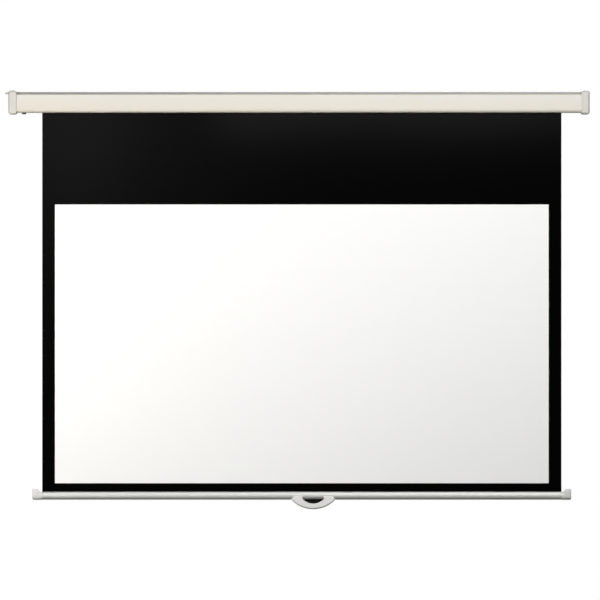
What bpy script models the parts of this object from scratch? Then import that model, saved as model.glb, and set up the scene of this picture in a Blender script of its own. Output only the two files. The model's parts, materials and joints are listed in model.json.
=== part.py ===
"""Pull down projector screen: a spring roller in a casing, a masked white sheet and a weighted pull bar.

Metres, +Z up. X runs along the casing, the viewer stands at -Y and the wall is the plane y = 0.
The origin lies on the wall plane, halfway along the casing, level with the top of the hanging rail.
The screen is modelled fully pulled down.
"""
import math

import bmesh
import bpy
import numpy as np
from mathutils import Vector

MM = 0.001

# Clearances
SEAT = 0.3 * MM             # between pieces that rest on or in each other
RUN = 0.6 * MM              # round pieces that turn past each other
STOP_GAP = 2.0 * MM         # bar ears to the casing when the screen is rolled up
OVERCUT = 2.0 * MM          # a cutter runs this far past the face it opens

# Sheet: the white picture area and the black borders round it
VIEW_WIDTH = 1860.0 * MM
VIEW_HEIGHT = 1050.0 * MM
VIEW_THICKNESS = 0.25 * MM
SIDE_BORDER = 48.0 * MM
DROP = 345.0 * MM           # black cloth between casing and picture
BOTTOM_BORDER = 32.0 * MM
FABRIC_THICKNESS = 0.45 * MM
FABRIC_SHIFT = 10.4 * MM    # fabric centre to the right of the casing's

# Casing, an open extrusion with a slot along its underside
END_ROOM = 115.0 * MM       # casing past the fabric at each end, caps included
CASE_DEPTH = 80.0 * MM
CASE_HEIGHT = 68.6 * MM
CASE_WALL = 1.6 * MM
CASE_CORNER = 3.0 * MM
CASE_FRONT_CORNER = 9.0 * MM
WALL_GAP = 7.5 * MM         # casing back to the wall
SLOT_WIDTH = 14.0 * MM
SLOT_LIP = 5.0 * MM
PORT_BORE = 1.9 * MM        # radius of the screw ports
PORT_WALL = 1.5 * MM
PORT_MOUTH = math.radians(30)
PORT_STAND = 6.0 * MM       # port's middle off the wall it stands on
UPPER_PORT_FROM_BACK = 13.0 * MM
LOWER_PORT_FROM_BOTTOM = 16.0 * MM

# Hanging rail on the casing, and the lug in its left end
RAIL_HEIGHT = 8.7 * MM
RAIL_WALL = 1.6 * MM
RAIL_FRONT_SETBACK = 14.0 * MM
RAIL_BACK_SETBACK = 8.0 * MM
RAIL_SOLE = 30.0 * MM
LUG_REACH = 12.0 * MM
LUG_WIDTH = 16.0 * MM
LUG_SHOULDER = 1.0 * MM     # head past the shank at each side
LUG_SHANK = 26.0 * MM
LUG_HEAD_HEIGHT = 8.0 * MM
LUG_HEAD_ROUND = 1.5 * MM

# End caps
CAP_LENGTH = 30.0 * MM
CAP_PROUD_TOP = 5.3 * MM
CAP_PROUD_BOTTOM = 6.4 * MM
CAP_PROUD_SIDE = 5.5 * MM
CAP_WALL = 2.6 * MM
CAP_ROUND = 9.0 * MM
CAP_ROUND_STEPS = 4
CAP_RIB = 2.0 * MM          # thickness
CAP_RIB_LENGTH = 16.0 * MM
CAP_RIB_ROOT = 0.5 * MM     # rib's foot inside the wall it grows from
CAP_RIB_PLACES = (0.25, 0.75)
SCREW_HEAD = 3.3 * MM       # radius
SCREW_SHANK = 1.6 * MM
SCREW_LENGTH = 22.0 * MM
SCREW_SINK = 1.7 * MM
SCREW_FLUSH = 0.1 * MM      # head below the cap's face
SCREW_TIP = 0.6 * MM        # radius of the tip

# Wall brackets
WALL_BRACKET_INSET = 273.0 * MM
WALL_BRACKET_WIDTH = 40.0 * MM
WALL_BRACKET_HEIGHT = 58.0 * MM
WALL_BRACKET_WALL = 2.5 * MM
WALL_BRACKET_BEND = 1.0 * MM    # inside radius
HOOK_BEND = 0.4 * MM
TONGUE_LIFT = 0.7 * MM      # tongue above the casing's top
HOOK_PLAY = 1.4 * MM       # tongue to the rail's rear lip
WALL_SCREW_HOLE = 2.25 * MM
WALL_SCREW_SPACING = 24.0 * MM

# Roller and the fabric left on it
TUBE_RADIUS = 20.0 * MM
TUBE_WALL = 1.2 * MM
TUBE_OVERHANG = 6.0 * MM    # tube past the fabric at each end
ROLL_PITCH = 0.8 * MM
ROLL_TURNS = 2.5            # turns that stay on the tube
ROLL_FACETS = 40            # in one turn
TUBE_FACETS = 48

# Roller ends, spring and lock
BRACKET_INSET = 45.0 * MM   # roller bracket plates in from the casing's ends
BRACKET_WALL = 2.0 * MM
BRACKET_WIDTH = 50.0 * MM
BRACKET_RISE = 18.0 * MM    # above the roller's axis
BRACKET_ROUND = 12.0 * MM
BRACKET_BEND = 3.0 * MM
FOOT_LENGTH = 26.0 * MM
SPEAR_RADIUS = 4.0 * MM
SPEAR_TAIL = 24.0 * MM      # spear past the spring's anchor
SPEAR_FLAT = 4.0 * MM       # thickness of the flattened end
SPEAR_FLAT_LENGTH = 16.0 * MM
SPEAR_PROUD = 8.0 * MM      # spear past its bracket
PLUG_LENGTH = 24.0 * MM
PLUG_FLANGE = 3.0 * MM
BUSH_WALL = 1.7 * MM
SPIGOT_WALL = 1.8 * MM      # of the sleeve that the spring's end is pressed on
SPRING_WIRE = 1.2 * MM      # radius
SPRING_TURNS = 28
SPRING_PITCH = 8.6 * MM
SPRING_SEAT_TURNS = 1.5     # turns that sit on each spigot
POINTS_PER_TURN = 8
ANCHOR_DISC = 8.0 * MM
RATCHET_RADIUS = 7.5 * MM
RATCHET_ROOT = 4.9 * MM
RATCHET_WIDTH = 4.0 * MM
RATCHET_LEAD = math.radians(15)     # from the dropped nose's middle to the notch's step
RATCHET_FLOOR = math.radians(22)
RATCHET_RAMP = math.radians(60)
RATCHET_HUB_LENGTH = 8.0 * MM
RATCHET_HUB_RADIUS = 6.5 * MM
PAWL_ROOM = 3.8 * MM       # ratchet's rim to the pawl's eye
PAWL_NOSE_DROPPED = 6.3 * MM    # nose's middle from the roller's axis when it is down
PAWL_NOSE_LEAD = math.radians(45)   # from the pivot to the dropped nose, seen from the axis
PAWL_EYE = 3.2 * MM
PAWL_NOSE = 1.1 * MM
PAWL_SWING = math.radians(15)
PAWL_THICKNESS = 3.4 * MM
PAWL_PIN = 1.6 * MM
PAWL_PIN_HEAD = 2.8 * MM
PAWL_PIN_HEAD_HEIGHT = 1.0 * MM
IDLE_PIN_RADIUS = 4.0 * MM
IDLE_PIN_PROUD = 6.0 * MM
IDLE_PIN_CHAMFER = 1.0 * MM
CARRIER_HEAD = 8.5 * MM     # radius
CARRIER_HEAD_HEIGHT = 6.0 * MM
CARRIER_HEAD_CHAMFER = 1.6 * MM
CARRIER_SHANK = 2.5 * MM
CARRIER_TIP_CHAMFER = 0.8 * MM
CARRIER_SHANK_PROUD = 4.0 * MM
CARRIER_FROM_FRONT = 30.0 * MM

# Weight bar
BAR_HEIGHT = 30.0 * MM
BAR_DEPTH = 26.0 * MM
BAR_BELLY = 0.42            # height of the widest place, as a share of the bar's height
BAR_TOP_LAND = 4.2 * MM     # half-width of the flat top
BAR_MOUTH = 3.0 * MM
BAR_ROOF = 4.05 * MM        # wall over the hem's channel
BAR_WEB = 1.95 * MM         # wall between the channel and the ballast's bore
BAR_FLOOR = 3.5 * MM        # wall under the bore
HEM_BORE = 3.95 * MM        # radius
HEM_PROUD = 2.15 * MM       # hem's neck above the bar
BALLAST_SHORT = 22.0 * MM   # ballast rod stops this far from each end of the bar

# Bar end caps
BAR_CAP_SLEEVE = 6.5 * MM   # before the ear starts to rise
BAR_CAP_PROUD = 0.6 * MM
BAR_CAP_ROUND = 3.0 * MM
EAR_RISE = 11.0 * MM
EAR_FLAT = 19.0 * MM
EAR_SLOPE = 11.0 * MM
EAR_HALF_LAND = 9.0 * MM
SPIGOT_LENGTH = 16.0 * MM

# Handle
HANDLE_SHIFT = 43.0 * MM    # handle centre to the right of the fabric's
HANDLE_WIDTH = 168.0 * MM
HANDLE_DROP = 35.8 * MM
HORN_RISE = 14.0 * MM
HORN_TAPER = 10.0 * MM
HORN_TIP_ROUND = 5.0 * MM
HORN_SIDE_ROUND = 3.0 * MM
HANDLE_EDGE = 2.5 * MM
HANDLE_FRONT_WALL = 4.5 * MM
HANDLE_BACK_WALL = 1.0 * MM
HANDLE_SKIN = 2.4 * MM
CRADLE_RISE = 6.0 * MM
SADDLE = 3.0 * MM           # skin under the bar
CUP_WIDTH = 81.0 * MM
CUP_TOP = 3.8 * MM          # above the bar's bottom
CUP_DROP = 14.3 * MM        # below the bar's bottom
CUP_BACK_WALL = 7.5 * MM
CUP_SKIN = 1.6 * MM
HANDLE_SCREW_SEAT = 6.0 * MM
HANDLE_SCREW_HEAD = 3.8 * MM
HANDLE_SCREW_HEAD_HEIGHT = 2.4 * MM
HANDLE_SCREW_SHANK = 1.9 * MM
HANDLE_SCREW_CHAMFER = 0.9 * MM
HANDLE_SCREW_BITE = 3.2 * MM    # into the bar's floor
HANDLE_BOSS = 6.5 * MM      # half-width
HANDLE_RIB = 2.0 * MM

# Places worked out from the sizes
FABRIC_WIDTH = VIEW_WIDTH + 2 * SIDE_BORDER
CASE_LENGTH = FABRIC_WIDTH + 2 * END_ROOM
CAP_INNER_ROUND = CAP_ROUND - CAP_WALL
CAP_TIGHTEST = min(CAP_PROUD_TOP, CAP_PROUD_SIDE, CAP_PROUD_BOTTOM) - CAP_WALL - 2 * SEAT
CAP_CORNER_LEFT = max(CAP_INNER_ROUND - CAP_TIGHTEST, 0.0)
CAP_INNER_REACH = math.sqrt(CAP_INNER_ROUND ** 2 - CAP_CORNER_LEFT ** 2)
CASE_END = CASE_LENGTH / 2 - CAP_WALL - CAP_INNER_ROUND + CAP_INNER_REACH - SEAT
CASE_BACK = -WALL_GAP
CASE_FRONT = CASE_BACK - CASE_DEPTH
CASE_TOP = -RAIL_HEIGHT - SEAT
CASE_BOTTOM = CASE_TOP - CASE_HEIGHT
CASE_FLOOR = CASE_BOTTOM + CASE_WALL
TONGUE_TOP = CASE_TOP + TONGUE_LIFT + WALL_BRACKET_WALL
WALL_BRACKET_X = CASE_LENGTH / 2 - WALL_BRACKET_INSET

AXIS_Y = (CASE_FRONT + CASE_BACK) / 2
AXIS_Z = (CASE_TOP + CASE_BOTTOM) / 2
ROLL_INNER = TUBE_RADIUS + SEAT
ROLL_OUTER = ROLL_INNER + FABRIC_THICKNESS + ROLL_PITCH * ROLL_TURNS
FABRIC_BACK = AXIS_Y + ROLL_OUTER
FABRIC_Y = FABRIC_BACK - FABRIC_THICKNESS / 2
FABRIC_TOP = AXIS_Z - SEAT
FABRIC_LEFT = FABRIC_SHIFT - FABRIC_WIDTH / 2
FABRIC_RIGHT = FABRIC_SHIFT + FABRIC_WIDTH / 2
TUBE_LEFT = FABRIC_LEFT - TUBE_OVERHANG
TUBE_RIGHT = FABRIC_RIGHT + TUBE_OVERHANG
VIEW_TOP = CASE_BOTTOM - DROP
VIEW_BOTTOM = VIEW_TOP - VIEW_HEIGHT

BAR_TOP = VIEW_BOTTOM - BOTTOM_BORDER
BAR_BOTTOM = BAR_TOP - BAR_HEIGHT
HEM_Z = BAR_TOP - BAR_ROOF - HEM_BORE
HEM_OUTER = HEM_BORE - SEAT
HEM_INNER = HEM_OUTER - FABRIC_THICKNESS
HEM_TOP = BAR_TOP + HEM_PROUD
BALLAST_BORE = (BAR_HEIGHT - BAR_ROOF - 2 * HEM_BORE - BAR_WEB - BAR_FLOOR) / 2
BALLAST_Z = BAR_BOTTOM + BAR_FLOOR + BALLAST_BORE
BAR_CAP_LENGTH = BAR_CAP_SLEEVE + EAR_SLOPE + EAR_FLAT
HANDLE_X = FABRIC_SHIFT + HANDLE_SHIFT
HANDLE_FRONT = FABRIC_Y - BAR_DEPTH / 2 - HANDLE_FRONT_WALL
HANDLE_BACK = FABRIC_Y + BAR_DEPTH / 2 + HANDLE_BACK_WALL
CUP_DEPTH = HANDLE_BACK - HANDLE_FRONT - CUP_BACK_WALL
HANDLE_SCREW_X = (CUP_WIDTH + HANDLE_WIDTH) / 4
TRAVEL = CASE_BOTTOM - STOP_GAP - (BAR_TOP + EAR_RISE + BAR_CAP_PROUD)

BRACKET_LEFT = -CASE_LENGTH / 2 + BRACKET_INSET
BRACKET_RIGHT = CASE_LENGTH / 2 - BRACKET_INSET
CARRIER_X = BRACKET_LEFT + FOOT_LENGTH / 2
CARRIER_Y = CASE_FRONT + CARRIER_FROM_FRONT
TUBE_BORE = TUBE_RADIUS - TUBE_WALL
PLUG_RADIUS = TUBE_BORE - SEAT
PLUG_FACE = TUBE_LEFT - SEAT - PLUG_FLANGE
BUSH_OUTER = SPEAR_RADIUS + SEAT + BUSH_WALL
SPIGOT_RADIUS = BUSH_OUTER + SEAT + SPIGOT_WALL
SPRING_RADIUS = (SPIGOT_RADIUS + SEAT + SPRING_WIRE) / math.cos(math.pi / POINTS_PER_TURN)
SPRING_LEFT = TUBE_LEFT + PLUG_LENGTH + SPRING_WIRE + SEAT
SPRING_RIGHT = SPRING_LEFT + SPRING_TURNS * SPRING_PITCH
SEAT_LENGTH = SPRING_SEAT_TURNS * SPRING_PITCH
ANCHOR_X = SPRING_RIGHT + SPRING_WIRE + SEAT
SPEAR_LEFT = BRACKET_LEFT - SPEAR_PROUD
SPEAR_RIGHT = ANCHOR_X + ANCHOR_DISC + SPEAR_TAIL
RATCHET_X = PLUG_FACE - RUN - RATCHET_WIDTH / 2
RATCHET_STEP = math.radians(90) + PAWL_NOSE_LEAD + RATCHET_LEAD
PAWL_PIVOT = RATCHET_RADIUS + PAWL_ROOM + PAWL_EYE

# How an outline's own plane is turned in space: its u, v and thickness run along Y, Z, X or X, Z, -Y
ALONG_X = (math.pi / 2, 0.0, math.pi / 2)
AGAINST_X = (math.pi / 2, 0.0, -math.pi / 2)
ALONG_Y = (math.pi / 2, 0.0, 0.0)
UPRIGHT = (0.0, 0.0, 0.0)


def srgb(hex_colour):
    """Linear red, green, blue and alpha of an sRGB hex colour."""
    channels = [int(hex_colour[i:i + 2], 16) / 255 for i in (0, 2, 4)]
    return [c / 12.92 if c <= 0.04045 else ((c + 0.055) / 1.055) ** 2.4 for c in channels] + [1.0]


def finish(name, hex_colour, roughness, metallic=0.0):
    """A Principled material of one colour."""
    look = bpy.data.materials.new(name)
    look.use_nodes = True
    shader = look.node_tree.nodes["Principled BSDF"]
    shader.inputs["Base Color"].default_value = srgb(hex_colour)
    shader.inputs["Roughness"].default_value = roughness
    shader.inputs["Metallic"].default_value = metallic
    look.diffuse_color = srgb(hex_colour)
    return look


def collection(name):
    group = bpy.data.collections.new(name)
    bpy.context.scene.collection.children.link(group)
    return group


def arc(centre, radius, start, end, steps):
    """Points on a circle from one angle to another, both ends included."""
    angles = np.linspace(start, end, steps + 1)
    return [(centre[0] + radius * math.cos(a), centre[1] + radius * math.sin(a)) for a in angles]


def rounded(corners, steps=5):
    """An outline from corners (u, v, radius); a radius of 0 keeps the corner sharp."""
    loop = []
    for i, (u, v, radius) in enumerate(corners):
        corner = Vector((u, v))
        if radius == 0:
            loop.append((u, v))
            continue
        back = (Vector(corners[i - 1][:2]) - corner).normalized()
        ahead = (Vector(corners[(i + 1) % len(corners)][:2]) - corner).normalized()
        half = back.angle(ahead) / 2
        centre = corner + (back + ahead).normalized() * (radius / math.sin(half))
        start = corner + back * (radius / math.tan(half)) - centre
        end = corner + ahead * (radius / math.tan(half)) - centre
        first = math.atan2(start.y, start.x)
        turn = math.atan2(start.x * end.y - start.y * end.x, start.dot(end))
        loop += arc(centre, radius, first, first + turn, steps)
    return loop


def sharp(points):
    return [(u, v, 0) for u, v in points]


def smoothed(mesh, sharp_angle=math.radians(35)):
    """Shades a mesh smooth and keeps its corners sharp."""
    mesh.shade_smooth()
    mesh.set_sharp_from_angle(angle=sharp_angle)
    return mesh


def welded(mesh):
    """Joins a mesh's loose caps to its walls, turns its faces outwards and shades it smooth."""
    work = bmesh.new()
    work.from_mesh(mesh)
    bmesh.ops.remove_doubles(work, verts=work.verts, dist=0.001 * MM)
    bmesh.ops.recalc_face_normals(work, faces=work.faces)
    work.to_mesh(mesh)
    work.free()
    return smoothed(mesh)


def outline_mesh(name, loops, thickness):
    """A closed mesh: flat loops (the first outside, the rest holes), filled and given a thickness."""
    curve = bpy.data.curves.new(name, "CURVE")
    curve.dimensions = "2D"
    curve.fill_mode = "BOTH"
    curve.extrude = thickness / 2
    for loop in loops:
        spline = curve.splines.new("POLY")
        spline.points.add(len(loop) - 1)
        for point, (u, v) in zip(spline.points, loop):
            point.co = (u, v, 0, 1)
        spline.use_cyclic_u = True
    pattern = bpy.data.objects.new(name, curve)
    bpy.context.scene.collection.objects.link(pattern)
    evaluated = pattern.evaluated_get(bpy.context.evaluated_depsgraph_get())
    mesh = bpy.data.meshes.new_from_object(evaluated)
    bpy.data.objects.remove(pattern)
    return welded(mesh)


def box_mesh(name, low, high, bevel=0.0, segments=2):
    """A box between two corners, with its edges rounded if a bevel is given."""
    work = bmesh.new()
    bmesh.ops.create_cube(work, size=1.0)
    size = Vector(high) - Vector(low)
    bmesh.ops.scale(work, vec=size, verts=work.verts)
    bmesh.ops.translate(work, vec=(Vector(low) + Vector(high)) / 2, verts=work.verts)
    if bevel:
        bmesh.ops.bevel(work, geom=work.edges[:], offset=bevel, segments=segments, profile=0.5,
                        affect="EDGES")
    mesh = bpy.data.meshes.new(name)
    work.to_mesh(mesh)
    work.free()
    return mesh


def cylinder_mesh(name, radius, length, sides=32, end_radius=None):
    """A cylinder or cone along Z, centred on the origin."""
    work = bmesh.new()
    bmesh.ops.create_cone(work, cap_ends=True, segments=sides, radius1=radius,
                          radius2=radius if end_radius is None else end_radius, depth=length)
    mesh = bpy.data.meshes.new(name)
    work.to_mesh(mesh)
    work.free()
    return mesh


class Builder:
    """Puts pieces and cutters in their collections and hangs moving pieces on their carriers."""

    def __init__(self):
        self.parts = collection("projector_screen")
        self.cutters = collection("cutters")

    def carrier(self, name, location):
        empty = bpy.data.objects.new(name, None)
        empty.location = location
        empty.empty_display_size = 20 * MM
        self.parts.objects.link(empty)
        return empty

    def piece(self, name, data, look, location=(0, 0, 0), turn=UPRIGHT, carrier=None):
        obj = bpy.data.objects.new(name, data)
        obj.data.name = name
        obj.data.materials.clear()
        obj.data.materials.append(look)
        obj.location = location
        obj.rotation_euler = turn
        if carrier:
            obj.parent = carrier
            obj.location = Vector(location) - carrier.location
        self.parts.objects.link(obj)
        return obj

    def cutter(self, name, mesh, location=(0, 0, 0), turn=UPRIGHT):
        obj = bpy.data.objects.new(name, mesh)
        obj.location = location
        obj.rotation_euler = turn
        obj.hide_render = True
        obj.display_type = "WIRE"
        self.cutters.objects.link(obj)
        return obj

    def bar_x(self, name, loops, left, right, look, carrier=None, at=(0.0, 0.0)):
        """A profile in the Y-Z plane, drawn out along X; at is the outline's own zero."""
        mesh = outline_mesh(name, loops, right - left)
        return self.piece(name, mesh, look, ((left + right) / 2, at[0], at[1]), ALONG_X, carrier)

    def turned(self, name, profile, look, at, carrier=None, steps=32, closed=False):
        """A turned piece about X: profile is (along, radius), from its +X end down the outer side."""
        mesh = bpy.data.meshes.new(name)
        points = [(radius, 0.0, along) for along, radius in profile]
        edges = [(i, i + 1) for i in range(len(points) - 1)]
        if closed:
            edges.append((len(points) - 1, 0))
        mesh.from_pydata(points, edges, [])
        obj = self.piece(name, mesh, look, at, ALONG_X, carrier)
        screw = obj.modifiers.new("turn", "SCREW")
        screw.steps = steps
        screw.render_steps = steps
        screw.use_merge_vertices = True
        screw.merge_threshold = 0.001 * MM
        return obj

    def bent_sheet(self, name, path, thickness, low, high, look, axis="X"):
        """Sheet bent along an open path: in the Y-Z plane and drawn out along X, or in X-Z along Y."""
        mesh = bpy.data.meshes.new(name)
        points = []
        for along in (low, high):
            points += [(along, u, v) if axis == "X" else (u, along, v) for u, v in path]
        count = len(path)
        faces = [(i, i + 1, count + i + 1, count + i) for i in range(count - 1)]
        mesh.from_pydata(points, [], faces)
        obj = self.piece(name, mesh, look)
        sheet = obj.modifiers.new("sheet", "SOLIDIFY")
        sheet.thickness = thickness
        sheet.offset = 0.0
        sheet.use_even_offset = True
        return obj


def cut(obj, cutter, operation="DIFFERENCE"):
    step = obj.modifiers.new(operation.lower() + "_" + cutter.name, "BOOLEAN")
    step.operation = operation
    step.solver = "EXACT"
    step.object = cutter


def settle(obj):
    """Keeps a round piece's finished mesh, shaded smooth with its corners sharp."""
    evaluated = obj.evaluated_get(bpy.context.evaluated_depsgraph_get())
    mesh = bpy.data.meshes.new_from_object(evaluated)
    mesh.name = obj.name
    obj.modifiers.clear()
    obj.data = smoothed(mesh)


def screw_port(foot, along):
    """A C-shaped screw port on a short web, as corners of the casing's inner outline.

    foot is where the web meets the wall; along is the way the outline runs there, with the port on its left.
    """
    outer = PORT_BORE + PORT_WALL
    half_web = PORT_WALL / 2
    root = math.asin(half_web / outer)
    down = math.radians(-90)
    up = math.radians(90)
    ring = [(-half_web, 0.0)]
    ring += arc((0, PORT_STAND), outer, down - root, down - math.pi + PORT_MOUTH, 6)
    ring += arc((0, PORT_STAND), PORT_BORE, up + PORT_MOUTH, up + math.tau - PORT_MOUTH, 10)
    ring += arc((0, PORT_STAND), outer, up - PORT_MOUTH, down + root, 6)
    ring.append((half_web, 0.0))
    across = (-along[1], along[0])
    return [(foot[0] + u * along[0] + v * across[0], foot[1] + u * along[1] + v * across[1], 0)
            for u, v in ring]


UPPER_PORT = (CASE_BACK - UPPER_PORT_FROM_BACK, CASE_TOP - CASE_WALL - PORT_STAND)
LOWER_PORT = (CASE_FRONT + CASE_WALL + PORT_STAND, CASE_BOTTOM + LOWER_PORT_FROM_BOTTOM)


def build_casing(builder, look):
    slot_front = FABRIC_Y - SLOT_WIDTH / 2
    slot_back = FABRIC_Y + SLOT_WIDTH / 2
    lip_top = CASE_BOTTOM + SLOT_LIP
    inner_corner = CASE_CORNER - CASE_WALL
    inner_back = CASE_BACK - CASE_WALL
    inner_front = CASE_FRONT + CASE_WALL
    inner_top = CASE_TOP - CASE_WALL
    corners = [(slot_front, CASE_BOTTOM, 0),
               (CASE_FRONT, CASE_BOTTOM, CASE_FRONT_CORNER),
               (CASE_FRONT, CASE_TOP, CASE_CORNER),
               (CASE_BACK, CASE_TOP, CASE_CORNER),
               (CASE_BACK, CASE_BOTTOM, CASE_CORNER),
               (slot_back, CASE_BOTTOM, 0),
               (slot_back, lip_top, 0),
               (slot_back + CASE_WALL, lip_top, 0),
               (slot_back + CASE_WALL, CASE_FLOOR, 0),
               (inner_back, CASE_FLOOR, inner_corner),
               (inner_back, inner_top, inner_corner)]
    corners += screw_port((UPPER_PORT[0], inner_top), (-1, 0))
    corners.append((inner_front, inner_top, inner_corner))
    corners += screw_port((inner_front, LOWER_PORT[1]), (0, -1))
    corners += [(inner_front, CASE_FLOOR, CASE_FRONT_CORNER - CASE_WALL),
                (slot_front - CASE_WALL, CASE_FLOOR, 0),
                (slot_front - CASE_WALL, lip_top, 0),
                (slot_front, lip_top, 0)]
    casing = builder.bar_x("casing", [rounded(corners)], -CASE_END, CASE_END, look)
    hole = cylinder_mesh("carrier_hole", CARRIER_SHANK + SEAT, 4 * CASE_WALL, 24)
    cut(casing, builder.cutter("carrier_hole", hole, (CARRIER_X, CARRIER_Y, CASE_BOTTOM)))


RAIL_FRONT = CASE_FRONT + RAIL_FRONT_SETBACK
RAIL_BACK = CASE_BACK - RAIL_BACK_SETBACK


def build_rail(builder, look):
    half = RAIL_WALL / 2
    path = [(RAIL_FRONT + RAIL_SOLE, -RAIL_HEIGHT + half, 0),
            (RAIL_FRONT + half, -RAIL_HEIGHT + half, RAIL_WALL),
            (RAIL_FRONT + half, -half, RAIL_WALL),
            (RAIL_BACK - half, -half, RAIL_WALL),
            (RAIL_BACK - half, TONGUE_TOP + HOOK_PLAY, 0)]
    builder.bent_sheet("hanging_rail", rounded(path, 3), RAIL_WALL, -CASE_END, CASE_END, look)


LUG_Y = RAIL_FRONT + RAIL_SOLE / 2
LUG_SHANK_HALF = LUG_WIDTH / 2 - LUG_SHOULDER


def build_rail_lug(builder, look):
    """A moulded tab: its shank plugs the rail's left end, its head stands out past the end cap."""
    face = -CASE_LENGTH / 2
    middle = -RAIL_HEIGHT / 2
    shank_half = RAIL_HEIGHT / 2 - RAIL_WALL - SEAT
    shank = box_mesh("rail_lug_left", (face - LUG_REACH / 2, LUG_Y - LUG_SHANK_HALF, middle - shank_half),
                     (face + LUG_SHANK, LUG_Y + LUG_SHANK_HALF, middle + shank_half))
    lug = builder.piece("rail_lug_left", shank, look)
    head = box_mesh("lug_head", (face - LUG_REACH, LUG_Y - LUG_WIDTH / 2, middle - LUG_HEAD_HEIGHT / 2),
                    (face - SEAT, LUG_Y + LUG_WIDTH / 2, middle + LUG_HEAD_HEIGHT / 2), LUG_HEAD_ROUND)
    cut(lug, builder.cutter("lug_head", head), "UNION")


CAP_BACK = CASE_BACK + CAP_PROUD_SIDE
CAP_FRONT = CASE_FRONT - CAP_PROUD_SIDE
CAP_TOP = CAP_PROUD_TOP
CAP_BOTTOM = CASE_BOTTOM - CAP_PROUD_BOTTOM


def cap_ribs(name, side, inner, outer):
    """The ribs that bridge the cap's walls and the casing, as separate boxes in one mesh."""
    work = bmesh.new()
    root = CAP_WALL - CAP_RIB_ROOT
    half = CAP_RIB / 2
    spans = []
    for share in CAP_RIB_PLACES:
        y = CASE_FRONT + CASE_DEPTH * share
        top = 0.0 if RAIL_FRONT < y < RAIL_BACK else CASE_TOP
        spans.append(((y - half, top + SEAT), (y + half, CAP_TOP - root)))
        spans.append(((y - half, CAP_BOTTOM + root), (y + half, CASE_BOTTOM - SEAT)))
        z = CASE_BOTTOM + CASE_HEIGHT * share
        spans.append(((CAP_FRONT + root, z - half), (CASE_FRONT - SEAT, z + half)))
        spans.append(((CASE_BACK + SEAT, z - half), (CAP_BACK - root, z + half)))
    for (y0, z0), (y1, z1) in spans:
        rib = box_mesh("rib", (side * outer, y0, z0), (side * inner, y1, z1))
        work.from_mesh(rib)
        bpy.data.meshes.remove(rib)
    bmesh.ops.recalc_face_normals(work, faces=work.faces)
    mesh = bpy.data.meshes.new(name)
    work.to_mesh(mesh)
    work.free()
    return mesh


def build_end_cap(builder, name, side, look):
    """A moulded cup over the casing's end: a rounded box cut open on its inner side and given a wall."""
    outer = CASE_LENGTH / 2
    inner = outer - CAP_LENGTH
    work = bmesh.new()
    block = box_mesh(name, (inner - 2 * CAP_ROUND, CAP_FRONT, CAP_BOTTOM), (outer, CAP_BACK, CAP_TOP),
                     CAP_ROUND, CAP_ROUND_STEPS)
    work.from_mesh(block)
    bpy.data.meshes.remove(block)
    bmesh.ops.bisect_plane(work, geom=work.verts[:] + work.edges[:] + work.faces[:], plane_co=(inner, 0, 0),
                           plane_no=(1, 0, 0), clear_inner=True)
    bmesh.ops.scale(work, vec=(side, 1, 1), verts=work.verts)
    if side < 0:
        bmesh.ops.reverse_faces(work, faces=work.faces)
    mesh = bpy.data.meshes.new(name)
    work.to_mesh(mesh)
    work.free()
    cap = builder.piece(name, smoothed(mesh), look)
    wall = cap.modifiers.new("wall", "SOLIDIFY")
    wall.thickness = CAP_WALL
    wall.offset = -1.0
    wall.use_even_offset = True
    rib_end = outer - CAP_ROUND
    ribs = cap_ribs(name + "_ribs", side, rib_end - CAP_RIB_LENGTH, rib_end)
    cut(cap, builder.cutter(name + "_ribs", ribs), "UNION")
    for place, (y, z) in (("upper", UPPER_PORT), ("lower", LOWER_PORT)):
        sink = screw_sink_mesh(name + "_sink_" + place)
        turn = ALONG_X if side > 0 else AGAINST_X
        cut(cap, builder.cutter(name + "_sink_" + place, sink, (side * outer, y, z), turn))
    if side < 0:
        half = RAIL_HEIGHT / 2 - RAIL_WALL
        room = LUG_SHANK_HALF + SEAT
        window = box_mesh("lug_window", (-outer - OVERCUT, LUG_Y - room, -RAIL_HEIGHT / 2 - half),
                          (-outer + CAP_WALL + OVERCUT, LUG_Y + room, -RAIL_HEIGHT / 2 + half))
        cut(cap, builder.cutter("lug_window", window))


def screw_sink_mesh(name):
    """Room for a countersunk screw: a cone at the face and a bore behind it, with the face at z = 0."""
    depth = CAP_WALL + OVERCUT
    profile = [(OVERCUT, 0.0), (OVERCUT, SCREW_HEAD + 2 * SEAT), (0.0, SCREW_HEAD + 2 * SEAT),
               (-SCREW_SINK - SEAT, SCREW_SHANK + SEAT), (-depth, SCREW_SHANK + SEAT), (-depth, 0.0)]
    return revolved_mesh(name, profile, 24)


def revolved_mesh(name, profile, steps):
    """A turned cutter about Z from (along, radius) points, from its top down the outer side."""
    work = bmesh.new()
    verts = [work.verts.new((radius, 0.0, along)) for along, radius in profile]
    edges = [work.edges.new(pair) for pair in zip(verts, verts[1:])]
    bmesh.ops.spin(work, geom=verts + edges, axis=(0, 0, 1), cent=(0, 0, 0), angle=math.tau, steps=steps,
                   use_merge=True)
    bmesh.ops.remove_doubles(work, verts=work.verts, dist=0.001 * MM)
    bmesh.ops.recalc_face_normals(work, faces=work.faces)
    mesh = bpy.data.meshes.new(name)
    work.to_mesh(mesh)
    work.free()
    return mesh


def build_cap_screw(builder, name, side, port, look):
    """A countersunk screw through the end cap into the casing's port."""
    profile = [(-SCREW_FLUSH, 0.0), (-SCREW_FLUSH, SCREW_HEAD), (-SCREW_SINK, SCREW_SHANK),
               (-SCREW_LENGTH + SCREW_SHANK, SCREW_SHANK), (-SCREW_LENGTH, SCREW_TIP), (-SCREW_LENGTH, 0.0)]
    screw = builder.turned(name, profile, look, (side * CASE_LENGTH / 2, port[0], port[1]), steps=20)
    if side < 0:
        screw.rotation_euler = AGAINST_X
    settle(screw)


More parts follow.
